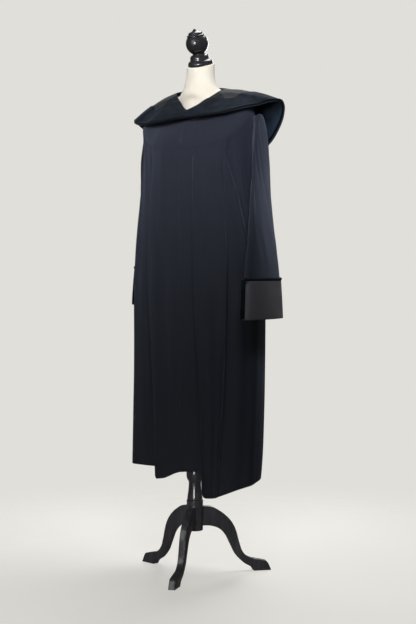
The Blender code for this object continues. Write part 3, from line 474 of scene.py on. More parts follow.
def sew(piece, face, thickness, closed=False):
    """Fill a piece with a cloth wall under a grid of points, with rounded edges."""
    face = np.array(face, dtype=float) + np.array(POLE)
    normals = cloth_normals(face, closed)
    inner = face - normals * thickness
    rows, columns = face.shape[:2]

    def edge(row, beyond):
        out = unit(face[row] - face[beyond])
        return (face[row] + inner[row]) * 0.5 + out * thickness * EDGE_ROUNDING

    loop = np.concatenate([face, edge(-1, -2)[None], inner[::-1], edge(0, 1)[None]])
    count = len(loop)
    ring = joined(face) if closed else face
    u, v = running(ring, 1), running(ring, 0)
    places = list(range(rows)) + [rows - 1] + list(range(rows - 1, -1, -1)) + [0]
    spans = columns if closed else columns - 1
    faces, laid_out = [], []
    for row in range(count):
        below, above = places[row], places[(row + 1) % count]
        first, second = row * columns, ((row + 1) % count) * columns
        for column in range(spans):
            after = (column + 1) % columns
            faces.append((first + column, first + after, second + after, second + column))
            laid_out += [(u[below, column], v[below, column]), (u[below, column + 1], v[below, column + 1]),
                         (u[above, column + 1], v[above, column + 1]), (u[above, column], v[above, column])]
    points = loop.reshape(-1, 3)
    if not closed:
        for column, beyond in ((0, 1), (columns - 1, columns - 2)):
            out = unit(face[:, column] - face[:, beyond])
            middles = (face[:, column] + inner[:, column]) * 0.5 + out * thickness * EDGE_ROUNDING
            start = len(points)
            points = np.concatenate([points, middles])
            flip = column == 0

            def side(corners, spots):
                faces.append(tuple(reversed(corners)) if flip else corners)
                laid_out.extend(reversed(spots) if flip else spots)

            for row in range(rows - 1):
                here, there = row * columns + column, (row + 1) * columns + column
                back_here = (2 * rows - row) * columns + column
                back_there = back_here - columns
                low, high = (u[row, column], v[row, column]), (u[row + 1, column], v[row + 1, column])
                side((here, start + row, start + row + 1, there), (low, low, high, high))
                side((start + row, back_here, back_there, start + row + 1), (low, low, high, high))
            top, bottom = (rows - 1) * columns + column, column
            spot_top, spot_bottom = (u[-1, column], v[-1, column]), (u[0, column], v[0, column])
            side((top, start + rows - 1, rows * columns + column), (spot_top,) * 3)
            side((start + rows - 1, (rows + 1) * columns + column, rows * columns + column), (spot_top,) * 3)
            rim = (count - 1) * columns + column
            side((bottom, rim, start), (spot_bottom,) * 3)
            side((start, rim, 2 * rows * columns + column), (spot_bottom,) * 3)
    fill_mesh(piece, points, faces, laid_out)
    return face


def loft(piece, rings):
    """Fill a piece with a closed skin through rings of points."""
    rings = np.array(rings, dtype=float) + np.array(POLE)
    count = rings.shape[1]
    u = running(joined(rings), 1)
    steps = np.linalg.norm(np.diff(rings, axis=0), axis=2).mean(axis=1)
    v = np.concatenate([[0.0], np.cumsum(steps)])
    faces, laid_out = [], []
    for row in range(len(rings) - 1):
        for column in range(count):
            after = (column + 1) % count
            first, second = row * count, (row + 1) * count
            faces.append((first + column, first + after, second + after, second + column))
            laid_out += [(u[row, column], v[row]), (u[row, column + 1], v[row]),
                         (u[row + 1, column + 1], v[row + 1]), (u[row + 1, column], v[row + 1])]
    points = rings.reshape(-1, 3)
    for row, turned in ((0, True), (len(rings) - 1, False)):
        centre = len(points)
        points = np.concatenate([points, rings[row].mean(axis=0)[None]])
        for column in range(count):
            pair = (row * count + column, row * count + (column + 1) % count)
            faces.append((pair[1], pair[0], centre) if turned else (pair[0], pair[1], centre))
            laid_out += [tuple(points[corner][:2]) for corner in faces[-1]]
    fill_mesh(piece, points, faces, laid_out)


def turn_on_lathe(piece, profile, steps):
    """Fill a piece with a turned solid from a profile of (radius, height), from the top down."""
    rings = []
    for radius, height in profile:
        radius = max(radius, 0.00005)
        angles = [2 * math.pi * side / steps for side in range(steps)]
        rings.append([(radius * math.sin(angle), radius * math.cos(angle), height) for angle in angles])
    loft(piece, rings)
    piece.data.set_sharp_from_angle(angle=math.radians(50))


# Materials

class Wire:
    """A number in a material. Arithmetic on it adds the maths nodes."""

    def __init__(self, recipe, socket):
        self.recipe, self.socket = recipe, socket

    def maths(self, operation, *values):
        node = self.recipe.add("ShaderNodeMath", {"operation": operation}, dict(enumerate(values)))
        return Wire(self.recipe, node.outputs[0])

    def __add__(self, other):
        return self.maths("ADD", self, other)

    def __sub__(self, other):
        return self.maths("SUBTRACT", self, other)

    def __rsub__(self, other):
        return self.maths("SUBTRACT", other, self)

    def __mul__(self, other):
        return self.maths("MULTIPLY", self, other)

    def __pow__(self, other):
        return self.maths("POWER", self, other)

    def __gt__(self, other):
        return self.maths("GREATER_THAN", self, other)

    __radd__, __rmul__ = __add__, __mul__

    def wave(self, pitch):
        """0 to 1 and back once every pitch."""
        return self.maths("SINE", self * (2 * math.pi / pitch)) * 0.5 + 0.5

    def size(self):
        return self.maths("ABSOLUTE", self)

    def within(self, low, high):
        """0 at low and 1 at high, with soft ends."""
        node = self.recipe.add("ShaderNodeMapRange", {"interpolation_type": "SMOOTHSTEP"},
                               {"Value": self, "From Min": low, "From Max": high})
        return Wire(self.recipe, node.outputs["Result"])

    def smaller(self, other):
        return self.maths("MINIMUM", self, other)


class Recipe:
    """The nodes of a material or a world. A name starts a new material."""

    def __init__(self, owner):
        self.owner = bpy.data.materials.new(owner) if isinstance(owner, str) else owner
        self.owner.use_nodes = True
        self.tree = self.owner.node_tree
        self.shader = self.tree.nodes.get("Principled BSDF")

    def add(self, kind, settings=None, inputs=None):
        """Any node: its type, its settings, then what goes into its sockets."""
        node = self.tree.nodes.new(kind)
        for key, value in (settings or {}).items():
            setattr(node, key, value)
        for key, value in (inputs or {}).items():
            self.feed(node.inputs[key], value)
        return node

    def feed(self, socket, value):
        """Set or link one socket."""
        if isinstance(value, Wire):
            self.tree.links.new(value.socket, socket)
        elif isinstance(value, bpy.types.NodeSocket):
            self.tree.links.new(value, socket)
        else:
            socket.default_value = value

    def parts(self, vector):
        """The x, y and z of a vector."""
        return [Wire(self, part) for part in self.add("ShaderNodeSeparateXYZ", inputs={0: vector}).outputs]

    def cloth_place(self):
        """Place on the flat cloth in metres: across and up."""
        return self.parts(self.add("ShaderNodeUVMap", {"uv_map": "cloth"}).outputs[0])[:2]

    def space(self):
        """Place in the object's own space."""
        return self.add("ShaderNodeTexCoord").outputs["Object"]

    def stretched(self, x, y, z):
        """Space stretched along its axes, for grain and nap."""
        node = self.add("ShaderNodeVectorMath", {"operation": "MULTIPLY"}, {0: self.space(), 1: (x, y, z)})
        return node.outputs[0]

    def clouds(self, scale, detail=2.0, roughness=0.5, where=None):
        """Cloudy variation from 0 to 1."""
        inputs = {"Scale": scale, "Detail": detail, "Roughness": roughness, "Vector": where or self.space()}
        node = self.add("ShaderNodeTexNoise", inputs=inputs)
        return Wire(self, node.outputs["Fac"])

    def mix(self, share, first, second):
        """A colour between two colours."""
        node = self.add("ShaderNodeMix", {"data_type": "RGBA"}, {0: share, 6: first, 7: second})
        return node.outputs[2]

    def bump(self, height, distance, strength=1.0):
        """A normal from a height in units of distance."""
        inputs = {"Height": height, "Distance": distance, "Strength": strength}
        return self.add("ShaderNodeBump", inputs=inputs).outputs[0]

    def finish(self, **sockets):
        """Set the shader's sockets, underscores standing for spaces, and give the material."""
        for name, value in sockets.items():
            self.feed(self.shader.inputs[name.replace("_", " ")], value)
        return self.owner


def paint(colour, factor=1.0):
    """An opaque colour, lighter or darker by a factor."""
    return tuple(min(1.0, channel * factor) for channel in colour) + (1.0,)


def wool_cloth(colour, stitched=()):
    """Fine black twill with a little lint. stitched lists distances across the cloth, in
    metres, where a row of stitches runs up it; its groove is painted darker as painted shade, and its
    stitches painted lighter as a painted highlight."""
    recipe = Recipe("robe wool")
    across, up = recipe.cloth_place()
    rib = (across + up * 0.8).wave(0.0011)
    thread = (across - up * 1.4).wave(0.0007)
    worn = recipe.clouds(5.0, 3.0)
    lint = recipe.clouds(420.0, 2.0, 0.7)
    slub = recipe.clouds(60.0, 2.0, 0.6, recipe.stretched(1.0, 1.0, 0.12))
    height = rib * 0.55 + thread * 0.25 + slub * 0.5
    shade = worn * 0.55 + slub * 0.25 + lint * 0.2
    colours = recipe.mix(shade, paint(colour, 0.62), paint(colour, 1.55))
    colours = recipe.mix((rib * 0.30).smaller(0.3), colours, paint(colour, 0.45))
    for distance in stitched:
        row = (across - distance).size()
        groove = 1.0 - row.within(0.0002, 0.0016)
        stitch = (1.0 - row.within(0.0002, 0.0006)) * up.wave(0.0030)
        height = height - groove * 3.0 + stitch * 3.5
        # Painted shade darkens the groove, and a painted highlight lightens the stitches.
        colours = recipe.mix(groove * 0.45, colours, paint(colour, 0.35))
        colours = recipe.mix(stitch * 0.5, colours, paint(colour, 1.8))
    return recipe.finish(Base_Color=colours, Roughness=0.72 + worn * 0.12,
                         Normal=recipe.bump(height, 0.00022), Sheen_Weight=0.16, Sheen_Roughness=0.5,
                         Sheen_Tint=(0.50, 0.58, 0.80, 1.0), Specular_IOR_Level=0.28)


def nap_velvet(name, colour, crushed=1.0):
    """Black velvet: a short nap, brushed a little lighter and darker."""
    recipe = Recipe(name)
    brushed = recipe.clouds(9.0, 3.0, 0.55)
    crushed_nap = recipe.clouds(46.0, 3.0, 0.6)
    pile = recipe.clouds(1500.0, 2.0, 0.8)
    shade = (brushed * 0.55 + crushed_nap * 0.45).within(0.36, 0.66)
    colours = recipe.mix(shade, paint(colour, 0.55), paint(colour, 1.0 + 0.9 * crushed))
    colours = recipe.mix(pile.within(0.45, 0.75) * 0.35, colours, paint(colour, 0.3))
    return recipe.finish(Base_Color=colours, Roughness=0.86 - shade * 0.16,
                         Normal=recipe.bump(pile + crushed_nap * 1.5, 0.0005, 0.7),
                         Sheen_Weight=0.14, Sheen_Roughness=0.28, Sheen_Tint=(0.42, 0.52, 0.66, 1.0),
                         Specular_IOR_Level=0.18)


def ribbed_satin(name, colour, roughness, corner=None, trim=None):
    """Closely ribbed satin with a soft lustre; its trim rounds off a corner."""
    recipe = Recipe(name)
    across, up = recipe.cloth_place()
    rib = up.wave(0.0009)
    thread = across.wave(0.0004)
    streaks = recipe.clouds(70.0, 3.0, 0.6, recipe.stretched(0.15, 0.15, 1.0))
    soft = recipe.clouds(11.0, 2.0)
    shade = streaks * 0.5 + soft * 0.5
    colours = recipe.mix(shade, paint(colour, 0.78), paint(colour, 1.24))
    colours = recipe.mix(rib * 0.22, colours, paint(colour, 0.6))
    if corner:
        node = recipe.add("ShaderNodeVectorMath", {"operation": "DISTANCE"}, {0: recipe.space(), 1: corner})
        colours = recipe.mix(Wire(recipe, node.outputs["Value"]).within(0.0105, 0.0090), colours, paint(trim))
    return recipe.finish(Base_Color=colours, Roughness=roughness + streaks * 0.10,
                         Normal=recipe.bump(rib * 0.8 + thread * 0.2 + soft * 1.2, 0.00022),
                         Sheen_Weight=0.18, Sheen_Roughness=0.3, Sheen_Tint=(0.80, 0.82, 0.90, 1.0))


def collar_lining(colour, dark):
    """Grey ribbed cloth behind the lapels; in front of them and beyond the bare field it is dark. On its
    underside that dark is painted five times lighter: painted light under the collar, where the lamps reach
    little.
    """
    recipe = Recipe(ribbed_satin("collar cloth", colour, 0.55))
    x, y = recipe.parts(recipe.space())[:2]
    behind = (y - POLE.y + (x - POLE.x).size() * 0.61).within(0.056, 0.061)
    up = recipe.cloth_place()[1]
    above = recipe.parts(recipe.add("ShaderNodeNewGeometry").outputs["True Normal"])[2] > 0.0
    bare = behind * (1.0 - up.within(0.172, 0.180)) * above
    grey = recipe.shader.inputs["Base Color"].links[0].from_socket
    # Faces turned down get the velvet colour painted five times lighter: painted light on the collar's
    # underside.
    dark_with_painted_lit_underside = recipe.mix(above, paint(dark, 5.0), paint(dark, 0.9))
    return recipe.finish(Base_Color=recipe.mix(bare, dark_with_painted_lit_underside, grey), Roughness=0.86 - bare * 0.30,
                         Sheen_Weight=0.05, Specular_IOR_Level=0.25)


def knitted_cover(colour):
    """Cream jersey stretched over the form: fine wales, a little uneven."""
    recipe = Recipe("form jersey")
    across, up = recipe.cloth_place()
    wale = across.wave(0.0012)
    loop = (up + wale * 0.0003).wave(0.0009)
    soiled = recipe.clouds(4.0, 4.0, 0.6)
    flecks = recipe.clouds(260.0, 2.0, 0.7)
    yellowed = [channel * share for channel, share in zip(colour, (0.86, 0.84, 0.79))]
    colours = recipe.mix(soiled.within(0.30, 0.75), paint(colour, 1.04), paint(yellowed))
    colours = recipe.mix(wale * loop * 0.16, colours, paint(colour, 0.62))
    colours = recipe.mix(flecks.within(0.62, 0.80) * 0.2, colours, paint(colour, 0.75))
    return recipe.finish(Base_Color=colours, Roughness=0.84 + flecks * 0.1,
                         Normal=recipe.bump(wale * 0.6 + loop * 0.4, 0.00025), Sheen_Weight=0.2,
                         Sheen_Roughness=0.5, Specular_IOR_Level=0.25)


def black_lacquer(name, colour):
    """Turned wood under black gloss lacquer: faint grain, dust and rubbed spots."""
    recipe = Recipe(name)
    grain = recipe.clouds(60.0, 4.0, 0.6, recipe.stretched(1.0, 1.0, 0.08))
    wavy = recipe.clouds(16.0, 2.0)
    dust = recipe.clouds(320.0, 3.0, 0.7)
    colours = recipe.mix(grain.within(0.42, 0.7) * 0.5, paint(colour), paint(colour, 2.0))
    colours = recipe.mix(dust.within(0.66, 0.80) * 0.4, colours, (0.05, 0.05, 0.05, 1.0))
    return recipe.finish(Base_Color=colours, Roughness=0.28 + grain * 0.06 + dust.within(0.6, 0.85) * 0.12,
                         Normal=recipe.bump(wavy, 0.0002, 0.1), Coat_Weight=0.8,
                         Coat_Roughness=0.16, Specular_IOR_Level=0.30)


# What a user would change

class GownSizes(bpy.types.PropertyGroup):
    cloth: FloatProperty(name="Cloth", description="Thickness of the robe's cloth", default=0.0017,
                         min=0.0008, max=0.0018, unit="LENGTH")
    velvet: FloatProperty(name="Velvet", description="Thickness of the velvet band with its backing",
                          default=0.0020, min=0.001, max=0.003, unit="LENGTH")
    roll: FloatProperty(name="Rolled edge", description="Radius of the collar's rolled edge", default=0.0046,
                        min=0.002, max=0.006, unit="LENGTH")
    row_height: FloatProperty(name="Row height", description="Height of one row of the robe's mesh",
                              default=0.010, min=0.004, max=0.05, unit="LENGTH")
    column_turn: FloatProperty(name="Column turn",
                               description="Width of one column of the robe's mesh, in degrees",
                               default=1.1, min=0.4, max=5.0)
    sleeve_columns: IntProperty(name="Sleeve columns", description="Columns round a sleeve", default=96,
                                min=24, max=160)


class GownColours(bpy.types.PropertyGroup):
    wool: FloatVectorProperty(name="Wool", description="Colour of the robe's cloth", subtype="COLOR",
                              default=(0.0098, 0.0116, 0.0180))
    velvet: FloatVectorProperty(name="Velvet", description="Colour of the velvet", subtype="COLOR",
                                default=(0.0030, 0.0048, 0.0078))
    collar: FloatVectorProperty(name="Collar cloth", description="Colour of the collar's inner field",
                                subtype="COLOR", default=(0.0135, 0.0148, 0.0160))
    satin: FloatVectorProperty(name="Cuff satin", description="Colour of the turned-back cuffs",
                               subtype="COLOR", default=(0.0480, 0.0465, 0.0560))
    jersey: FloatVectorProperty(name="Form cover", description="Colour of the form's knitted cover",
                                subtype="COLOR", default=(0.44, 0.415, 0.368))
    lacquer: FloatVectorProperty(name="Lacquer", description="Colour of the stand and the knob",
                                 subtype="COLOR", default=(0.0090, 0.0090, 0.0102))


class GownStage(bpy.types.PropertyGroup):
    turn: FloatProperty(name="View turn", description="How far the camera stands round to the wearer's left",
                        default=math.radians(33.0), subtype="ANGLE")
    distance: FloatProperty(name="Distance", description="Level distance from the pole to the camera",
                            default=4.3, unit="LENGTH")
    height: FloatProperty(name="Height", description="Height of the camera", default=0.95, unit="LENGTH")
    dip: FloatProperty(name="Dip", description="How far the camera looks down", default=math.radians(1.907),
                       subtype="ANGLE")
    swing: FloatProperty(name="Swing", description="How far the camera looks to its right of the pole",
                         default=math.radians(0.54), subtype="ANGLE")
    lens: FloatProperty(name="Lens", description="Focal length in millimetres", default=80.77)
    backdrop: FloatVectorProperty(name="Backdrop", description="Colour of the studio", subtype="COLOR",
                                  default=(0.752, 0.737, 0.700))
    ambient: FloatProperty(name="Ambient", description="How much light the studio walls give", default=0.08,
                           min=0.0, max=2.0)


class GownPieces:
    """Shared by the operators."""
    bl_options = {"REGISTER", "UNDO"}

    @staticmethod
    def settings(context):
        return context.scene.gown_sizes, context.scene.gown_colours


def robe_levels(row_height):
    """Levels of the robe's rows, from the hem to the neck."""
    count = int(round((NECK_LEVEL - HEM) / row_height))
    return [HEM + (NECK_LEVEL - HEM) * step / count for step in range(count + 1)]


def robe_turns(start, end, column_turn):
    """Turns of the robe's columns, closer together at the pleats."""
    turns = [start]
    while turns[-1] < end - 0.3:
        here = wrapped(turns[-1])
        nearest = min(abs(here - pleat.chest) for pleat in PLEATS)
        wider = min(column_turn, PLEAT_COLUMN + nearest * 0.12)
        turns.append(turns[-1] + (PLEAT_COLUMN if nearest < PLEAT_NEAR else wider))
    turns[-1] = end
    return turns


def robe_face(levels, turns, lift=None):
    """Grid of points of a body panel: its side columns give way to the armholes."""
    grid = []
    front_end, back_end = SIDE - SEAM_TURN, SIDE + SEAM_TURN
    for level in levels:
        open_front, open_back = [reach * armhole_width(level) for reach in (ARMHOLE_FRONT, ARMHOLE_BACK)]
        line = []
        for turn in turns:
            if GIVE_FRONT < abs(turn) < SIDE:
                share = (abs(turn) - GIVE_FRONT) / (front_end - GIVE_FRONT)
                turn = math.copysign(abs(turn) - open_front * share, turn)
            elif turn > SIDE:
                from_side = min(turn - back_end, 2 * BACK - back_end - turn)
                give = open_back * max(0.0, 1.0 - from_side / GIVE_BACK)
                turn += give if turn < BACK else -give
            line.append(body_point(level, turn, lift(turn) if lift else 0.0))
        grid.append(line)
    return grid


def fly_lift(cloth_turn):
    """How far the left front stands off where it lies over the right one."""
    return FLY_LIFT * (1.0 - ease(cloth_turn, FLY_OVERLAP + 2.0, FLY_FADE))


def hang(face, closed=False):
    """Work out the width, length and area of a hanging sheet's flat cut."""
    width, length, area = flat_size(face, closed)


class GOWN_OT_robe(GownPieces, bpy.types.Operator):
    """Hang the two fronts and the back on the form"""
    bl_idname = "gown.robe"
    bl_label = "Robe"

    def execute(self, context):
        sizes, colours = self.settings(context)
        levels = robe_levels(sizes.row_height)
        wool = wool_cloth(colours.wool)
        edged = wool_cloth(colours.wool, stitched=(0.006,))
        edged.name = "robe wool, stitched front"
        panels = (("front_left", edged, 0.0, SIDE - SEAM_TURN, fly_lift),
                  ("front_right", wool, SEAM_TURN - SIDE, FLY_OVERLAP, None),
                  ("back", wool, SIDE + SEAM_TURN, 2 * BACK - SIDE - SEAM_TURN, None))
        for node, cloth, start, end, lift in panels:
            panel = new_piece("robe_" + node, cloth, [node])
            turns = robe_turns(start, end, sizes.column_turn)
            hang(sew(panel, robe_face(levels, turns, lift), sizes.cloth))
        return {"FINISHED"}


def armhole_point(side, angle):
    """Point and normal of the armhole's edge: angle 0 at the top, 90 at the front."""
    level = (ARMPIT + ARMHOLE_TOP) * 0.5 + (ARMHOLE_TOP - ARMPIT) * 0.5 * math.cos(angle)
    reach = ARMHOLE_FRONT if math.sin(angle) > 0 else ARMHOLE_BACK
    turn = side * (SIDE - reach * math.sin(angle))
    across = body_point(level, turn + 0.5, crease=0.0) - body_point(level, turn - 0.5, crease=0.0)
    upward = body_point(level + 0.006, turn, crease=0.0) - body_point(level - 0.006, turn, crease=0.0)
    return body_point(level, turn, crease=0.0), across.cross(upward).normalized()


def sleeve_rings(side, rings, columns):
    """Points of a sleeve's rings and of its head, from its lower edge up to the armhole."""
    grid = []
    for ring in reversed(rings):
        outer = Vector((side * ring.outer_x, ring.middle_y, ring.outer_z))
        inner = Vector((side * ring.inner_x, ring.middle_y, ring.inner_z))
        turn = math.radians(ring.turn)
        forward = Vector((side * math.sin(turn), -math.cos(turn), 0.0)) * ring.half_length
        middle, across = (outer + inner) * 0.5, (outer - inner) * 0.5
        angles = [2 * math.pi * column / columns for column in range(columns)]
        grid.append([middle + across * math.cos(angle) + forward * math.sin(angle) for angle in angles])
    ends = [armhole_point(side, math.pi * quarter / 2)[0] for quarter in range(4)]
    centre = (ends[0] + ends[1] + ends[2] + ends[3]) * 0.25
    head = []
    for column in range(columns):
        edge, normal = armhole_point(side, 2 * math.pi * column / columns)
        away = edge - centre
        away = (away - normal * away.dot(normal)).normalized()
        head.append(edge + away * HEAD_REACH + normal * HEAD_LIFT)
    grid.append(head)
    return grid if side < 0 else [[line[-column] for column in range(columns)] for line in grid]


def sleeve_face(rings, side, row_height):
    """Fine grid of a sleeve through its rings, with the creases of a hanging sleeve."""
    rings = as_grid(rings)
    rows = []
    last = len(rings) - 1
    for index in range(last):
        gap = np.linalg.norm(rings[index + 1] - rings[index], axis=1).max()
        steps = max(2, int(round(gap / row_height)))
        for step in range(steps + (index == last - 1)):
            places = (max(0, index - 1), index, index + 1, min(last, index + 2))
            rows.append((index + step / steps, spline(*[rings[place] for place in places], step / steps)))
    face = np.array([row for _, row in rows])
    normals = cloth_normals(face, True)
    columns = face.shape[1]
    for number, (place, _) in enumerate(rows):
        share = ease(place, 1.8, 3.2) * (1.0 - ease(place, last - 2.2, last - 0.4))
        for column in range(columns):
            turn = 2 * math.pi * column / columns
            x, y, z = face[number, column]
            slant = z * 9.0 + 2.4 * math.sin(turn)
            height = 0.0034 * wander(1.3 * math.cos(turn) + 1.1 * math.sin(turn), slant, 4 + side)
            height += 0.0016 * wander(3.0 * math.cos(turn), slant * 2.1, 8 + side)
            face[number, column] += normals[number, column] * height * share
    return face


class GOWN_OT_sleeves(GownPieces, bpy.types.Operator):
    """Sew the sleeves with their satin cuffs and velvet edgings"""
    bl_idname = "gown.sleeves"
    bl_label = "Sleeves"

    def execute(self, context):
        sizes, colours = self.settings(context)
        wool = wool_cloth(colours.wool)
        velvet = nap_velvet("edging velvet", colours.velvet, 0.5)
        for name, side, table in (("left", 1, SLEEVE_LEFT), ("right", -1, SLEEVE_RIGHT)):
            rings = sleeve_rings(side, table, sizes.sleeve_columns)
            sleeve = new_piece("sleeve_cloth_" + name, wool, ["sleeve_" + name])
            face = sew(sleeve, sleeve_face(rings, side, sizes.row_height), sizes.cloth, closed=True)
            hang(face, True)
            self.cuff(name, side, rings, velvet, sizes, colours)
        return {"FINISHED"}

    def cuff(self, name, side, rings, velvet, sizes, colours):
        """A turned-back cuff, its rolled upper edging and the binding in front."""
        columns = sizes.sleeve_columns
        normals = cloth_normals(as_grid(rings[:3]), True)[1]

        def cuff_point(column, height, stand_off):
            fold, ring, upper = rings[0][column], rings[1][column], rings[2][column]
            share = 2.0 * height / (upper - fold).length
            point = fold.lerp(ring, share) if share < 1.0 else ring.lerp(upper, share - 1.0)
            turn = 2 * math.pi * column / columns
            uneven = 0.0005 * wander(2.2 * math.cos(turn), height * 16.0 + 2 * math.sin(turn), 12 + side)
            away = stand_off + LAY + CUFF_CLEAR + uneven + CUFF_FLARE * height / CUFF_HEIGHT
            return point + Vector(normals[column]) * away

        def band(heights, stand_offs):
            return [[cuff_point(column, height, stand_off) for column in range(columns)]
                    for height, stand_off in zip(heights, stand_offs)]

        field = CUFF_HEIGHT - EDGING_HEIGHT
        front = columns // 4 if side < 0 else 3 * columns // 4
        corner = POLE + cuff_point(front, field, SATIN_LIFT)
        satin = ribbed_satin("cuff satin " + name, colours.satin, 0.40, corner, colours.velvet)
        steps = [field * step / CUFF_ROWS for step in range(CUFF_ROWS + 1)]
        cuff = new_piece("cuff_satin_" + name, satin, ["cuff_" + name])
        face = sew(cuff, band(steps, [SATIN_LIFT] * len(steps)), SATIN_WALL, closed=True)
        hang(face, True)

        edging = new_piece("cuff_roll_" + name, velvet, ["cuff_edging_" + name])
        shares = range(EDGING_ROWS + 1)
        steps = [field + SEAM + (EDGING_HEIGHT - SEAM) * step / EDGING_ROWS for step in shares]
        rolls = [0.0020 + 0.0026 * math.sin(math.pi * step / EDGING_ROWS) for step in shares]
        sew(edging, band(steps, rolls), EDGING_WALL, closed=True)

        strip = new_piece("cuff_binding_" + name, velvet, ["cuff_strip_" + name])
        lean = Quaternion((0.0, 0.0, 1.0), math.radians(-side * STRIP_TURN))
        forward = lean @ (rings[0][front] - rings[0][front - columns // 2]).normalized()
        sideways = forward.cross(Vector((0.0, 0.0, 1.0))).normalized()
        strip_rings, half = [], STRIP_ROWS / 2
        for step in range(STRIP_ROWS + 1):
            height = STRIP_END + (CUFF_HEIGHT - 0.003 - STRIP_END) * step / STRIP_ROWS
            root = cuff_point(front, min(height, field), 0.0008) + forward * STRIP_GAP
            if height > field:
                root.z += height - field
            closing = 1.0 - 0.75 * (abs(step - half) / half) ** 14
            width, depth = STRIP_WIDTH * 0.5, STRIP_DEPTH * closing
            line = []
            for corner in range(STRIP_CORNERS):
                angle = 2 * math.pi * corner / STRIP_CORNERS
                reach = math.copysign(abs(math.cos(angle)) ** 0.5, math.cos(angle))
                rise = 0.0
                if step > half and reach > 0:
                    rise = -0.007 * reach ** 4 * ease(step, 22, STRIP_ROWS)
                line.append(root + forward * (width * (1 + reach)) + sideways * (depth * math.sin(angle))
                            + Vector((0, 0, rise)))
            strip_rings.append(line)
        loft(strip, strip_rings)


class GOWN_OT_collar(GownPieces, bpy.types.Operator):
    """Lay the cape collar with its velvet band and rolled edge"""
    bl_idname = "gown.collar"
    bl_label = "Collar"

    def execute(self, context):
        sizes, colours = self.settings(context)
        count = COLLAR_COLUMNS
        ribs = [COLLAR_END + (LAST_RIB - 2 * COLLAR_END) * step / count for step in range(count + 1)]

        def swell(rib, along):
            place = min(rib, LAST_RIB - rib)
            soft = 0.5 + 0.5 * wander(rib * 0.9, along * 1.6, 21)
            ridge = math.exp(-((place - 3.1 - along * 1.6) / 0.5) ** 2)
            ridge += 0.8 * math.exp(-((place - 7.4) / 0.7) ** 2)
            fine = 0.5 + 0.5 * wander(rib * 2.6, along * 5.0, 22)
            height = 0.0022 * soft + 0.0028 * ridge + 0.0008 * fine
            return height * ease(along, 0.0, 0.3) * (1 - ease(along, 0.9, 1.0))

        def face(places, lift, bead=0.0):
            grid = []
            for bare, share in places:
                line = []
                stand = lift + bead * ease(share, 0.80, BAND_END)
                for rib in ribs:
                    start = along_list(BAND_STARTS, rib)
                    along = start * bare if bare < 1.0 else start + (1.0 - start) * share
                    away = stand + swell(rib, along)
                    line.append(collar_point(rib, along) + collar_normal(rib, along) * away)
                grid.append(line)
            return grid

        band_rows = [(1.0, BAND_END * step / BAND_ROWS) for step in range(BAND_ROWS + 1)]
        base_rows = [(step / FIELD_ROWS, 0.0) for step in range(FIELD_ROWS)] + band_rows
        base_rows += [(1.0, ROLL_PLACE), (1.0, 1.0)]
        cloth = collar_lining(colours.collar, colours.velvet)
        base = new_piece("collar_cloth", cloth, ["collar"])
        laid = sew(base, face(base_rows, 0.0), COLLAR_WALL)
        hang(laid)
        velvet = nap_velvet("band velvet", colours.velvet)
        band = new_piece("collar_velvet", velvet, ["collar_band"])
        laid = sew(band, face(band_rows, LAY + sizes.velvet, 0.0012), sizes.velvet)
        hang(laid)

        # The roll's velvet is painted at half the band's colour: partly a darker velvet, partly painted shade
        # for the dark band along the collar's edge.
        roll_colour_with_shade = [channel * 0.5 for channel in colours.velvet]
        roll = new_piece("collar_roll", nap_velvet("roll velvet", roll_colour_with_shade, 0.4), ["collar_edging"])
        rings = []
        for number, rib in enumerate(ribs):
            upward = collar_normal(rib, ROLL_PLACE)
            middle = collar_point(rib, ROLL_PLACE) + upward * 0.0006
            outward = (collar_point(rib, 1.0) - collar_point(rib, BAND_END)).normalized()
            ends = min(number, count - number)
            radius = sizes.roll * (0.45 + 0.55 * math.sqrt(min(1.0, ends / 5.0)))
            radius *= 1 + 0.10 * wander(rib * 3.0, 0.0, 25)
            angles = [2 * math.pi * step / ROLL_CORNERS for step in range(ROLL_CORNERS)]
            rings.append([middle + outward * (radius * math.cos(angle)) + upward * (radius * math.sin(angle))
                          for angle in angles])
        loft(roll, rings)
        return {"FINISHED"}


# The form and its stand

FORM_SECTIONS = (
    Section(0.800, 0.800, 0.800, 0.110, -0.068, 0.095),
    Section(0.806, 0.806, 0.806, 0.148, -0.078, 0.118),
    Section(0.900, 0.900, 0.900, 0.166, -0.079, 0.126),
    Section(1.000, 1.000, 1.000, 0.152, -0.077, 0.116),
    Section(1.080, 1.080, 1.080, 0.140, -0.076, 0.108),
    Section(1.160, 1.160, 1.160, 0.150, -0.080, 0.114),
    Section(1.240, 1.235, 1.235, 0.164, -0.084, 0.122),
    Section(1.310, 1.280, 1.285, 0.170, -0.082, 0.124),
    Section(1.370, 1.320, 1.330, 0.174, -0.074, 0.116),
)
SHOULDER_LEVELS = (1.420, 1.450, NECK_LEVEL)
REST_DEPTH, FRONT_CLEARANCE = 0.0048, 0.009
NeckRing = namedtuple("NeckRing", "middle_y middle_z half_width half_depth tilt")
NECK_RINGS = (
    NeckRing(0.029, 1.474, 0.0740, 0.0520, 27.0), NeckRing(0.027, 1.491, 0.0570, 0.0520, 22.0),
    NeckRing(0.029, 1.512, 0.0480, 0.0480, 21.0), NeckRing(0.032, 1.535, 0.0448, 0.0444, 19.0),
    NeckRing(0.034, 1.565, 0.0438, 0.0432, 18.0),
)
BALL_HEIGHT, BALL_RADIUS = 0.0665, 0.0345
